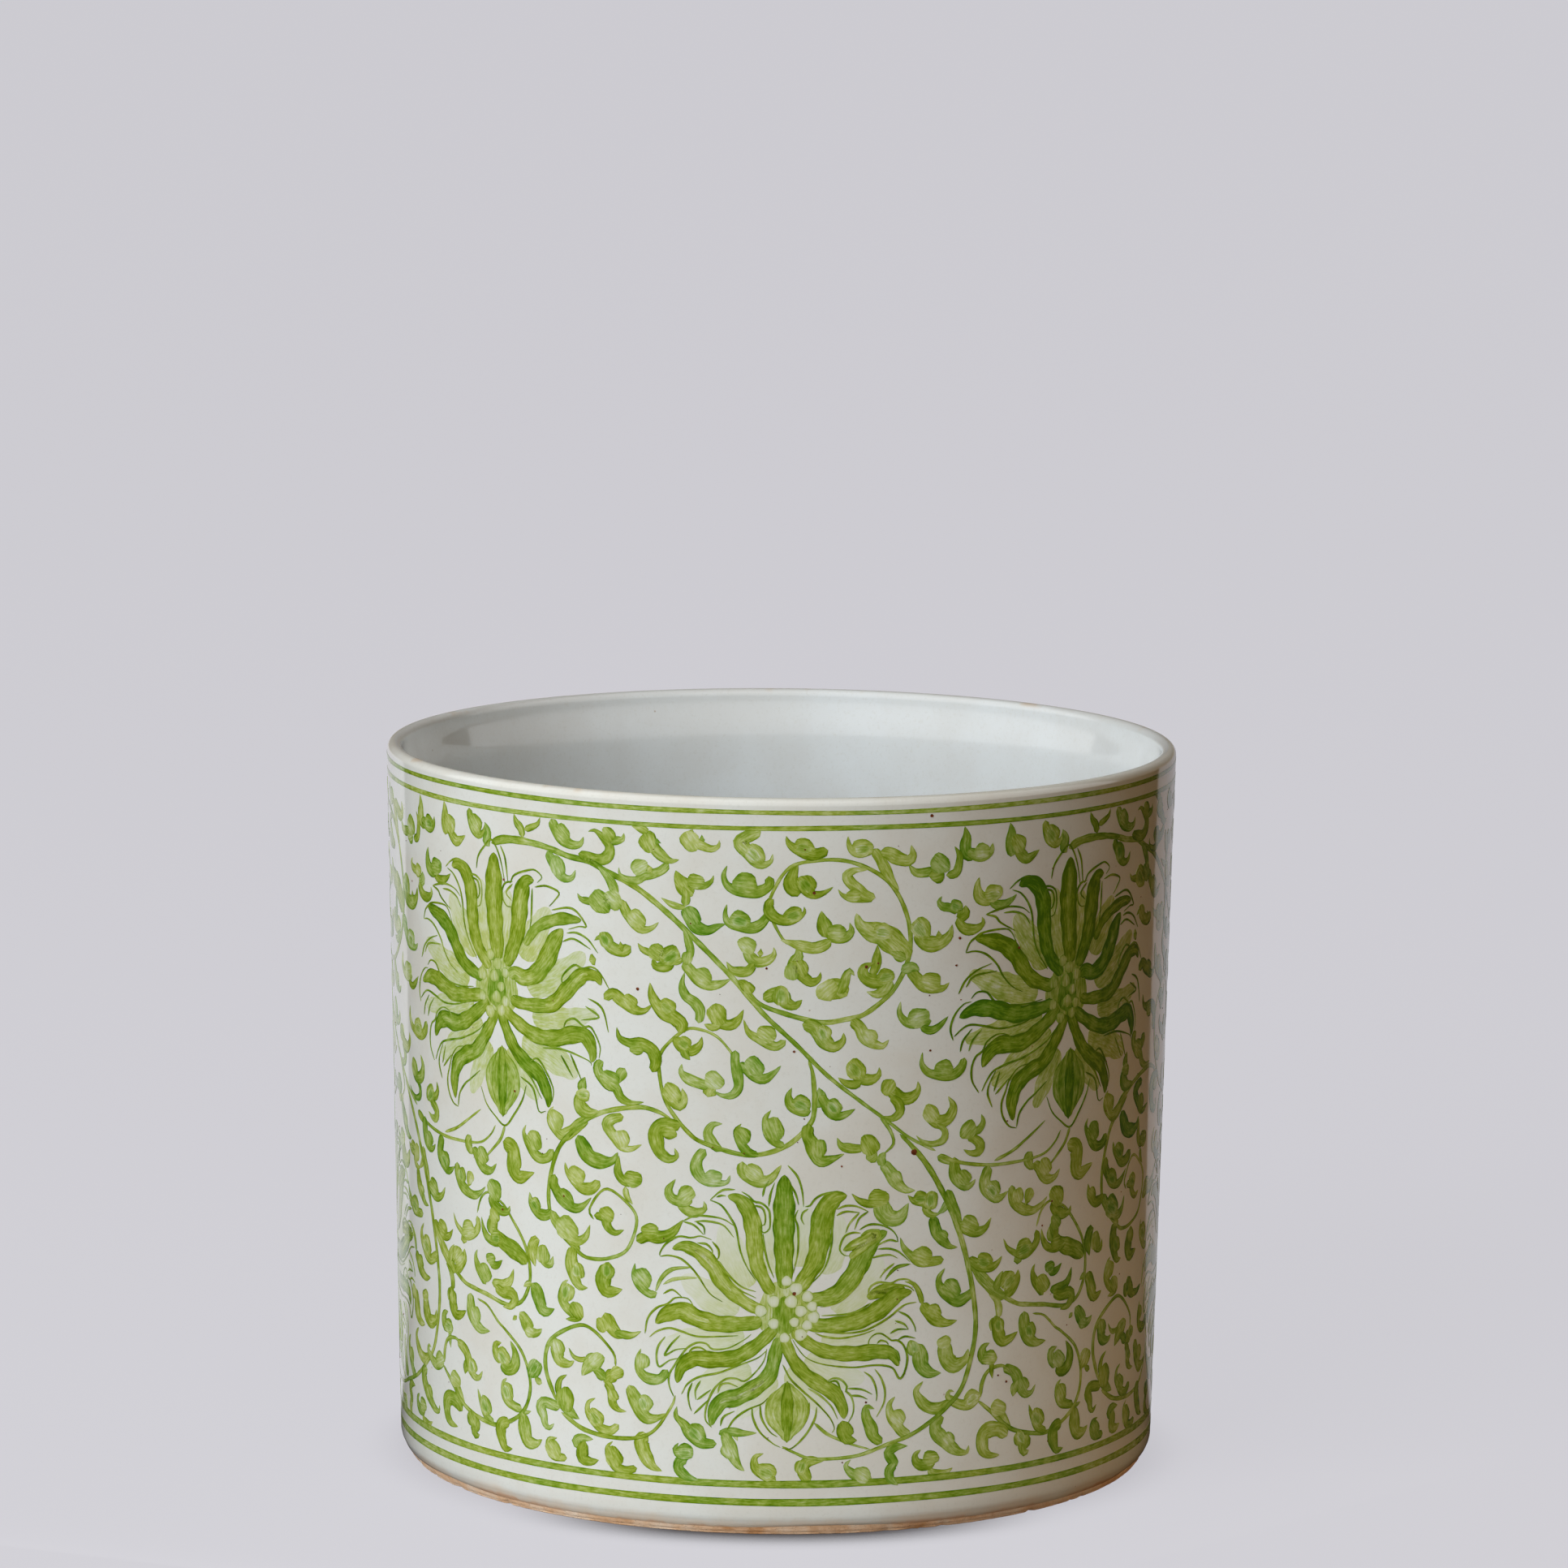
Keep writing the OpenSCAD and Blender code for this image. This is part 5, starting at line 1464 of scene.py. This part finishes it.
# Iron specks that burnt through the glaze, as (s, z, radius).
SPECKS = [
    (42.8, 121, 0.95), (5.4, 77.5, 0.6), (4.6, 153.6, 0.4), (10.2, 203, 0.5), (26.5, 179.8, 0.5),
    (30.2, 180.8, 0.3), (56.7, 187.3, 0.45), (55.7, 178.8, 0.35), (-44.2, 171.4, 0.5),
    (-4, 179.5, 0.35), (-89.5, 134.5, 0.4), (-95.5, 96, 0.4), (47.5, 152.7, 0.35),
    (19.7, 117.5, 0.3), (28.5, 42.5, 0.35), (74.5, 47.2, 0.3), (77.8, 44.8, 0.4), (95, 100.3, 0.35),
    (91, 93, 0.3), (78.3, 182.5, 0.45), (-70.3, 103.7, 0.35), (-93.2, 200.9, 0.4),
    (-27.3, 192.8, 0.25), (46.5, 226, 0.5),
]


def speck_iron():
    """Dark red-brown iron, dulled by the glaze over it."""
    shader = Shader("iron_speck", Roughness=0.25, IOR=1.5)
    shade = shader.noise(shader.place(), 900, 2)
    color = shader.ramp(shade, [(0.35, rgb(74, 34, 14)), (0.65, rgb(128, 66, 34))])
    shader.join(color, "Base Color")
    return shader.material


def make_specks(material):
    """The specks in their places in front, and fine ones scattered all round."""
    specks = Painting()
    for s, z, radius in SPECKS:
        specks.spot(s, z, radius, 0.5, rim=0.0, lift=0.12)
    for _ in range(150):
        s = random.uniform(-math.pi, math.pi) * PAINT_RADIUS
        z = random.uniform(7, 226)
        specks.spot(s, z, random.uniform(0.10, 0.26), 0.5, rim=0.0, lift=0.11)
    specks.finish("iron_specks", material, "outer_glaze")


# ---------------------------------------------------------------- assembly

bpy.context.scene.view_settings.view_transform = "Standard"
make_world()
floor = make_floor()
area_light("key", -37, 22, 2.3, (1.4, 1.8), 50, (0.985, 0.993, 1))
area_light("left", -97, 10, 1.6, (0.8, 1.2), 2.4)
area_light("top", -20, 66, 2.2, (3.0, 1.0), 7, mirrored=True)
area_light("warm_side", 76, 6, 2.3, (1.0, 1.4), 2.6, (1, 0.46, 0.12))
area_light("warm_low", 68, -14, 0.40, (0.25, 0.05), 0.085, (1, 0.50, 0.14))
spare(area_light("back", 167, 22, 2.3, (1.2, 1.6), 32), floor)
area_light("low_side", 46, -29, 0.22, (0.26, 0.02), 0.010, (0.9, 0.85, 0.7))
area_light("low_front", -22, -26, 0.25, (0.36, 0.02), 0.028)
outside_glaze = porcelain_glaze("outer_glaze")
inside_glaze = porcelain_glaze("inner_glaze", inside=True)
pigment = green_pigment()
clay = body_clay()
for node in ("wall", "base_slab"):
    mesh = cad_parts[node].data
    mesh.materials.clear()
    mesh.materials.append(clay)
make_outer_coat(outside_glaze)
make_inner_coat(inside_glaze)
make_base_coat(inside_glaze)
make_foot(foot_clay())
make_lines("upper_border_lines", 1.6, pigment)
make_lines("lower_border_lines", 2.4, pigment)
for turn in range(REPEATS):
    paint_repeat(turn, pigment)
make_specks(speck_iron())
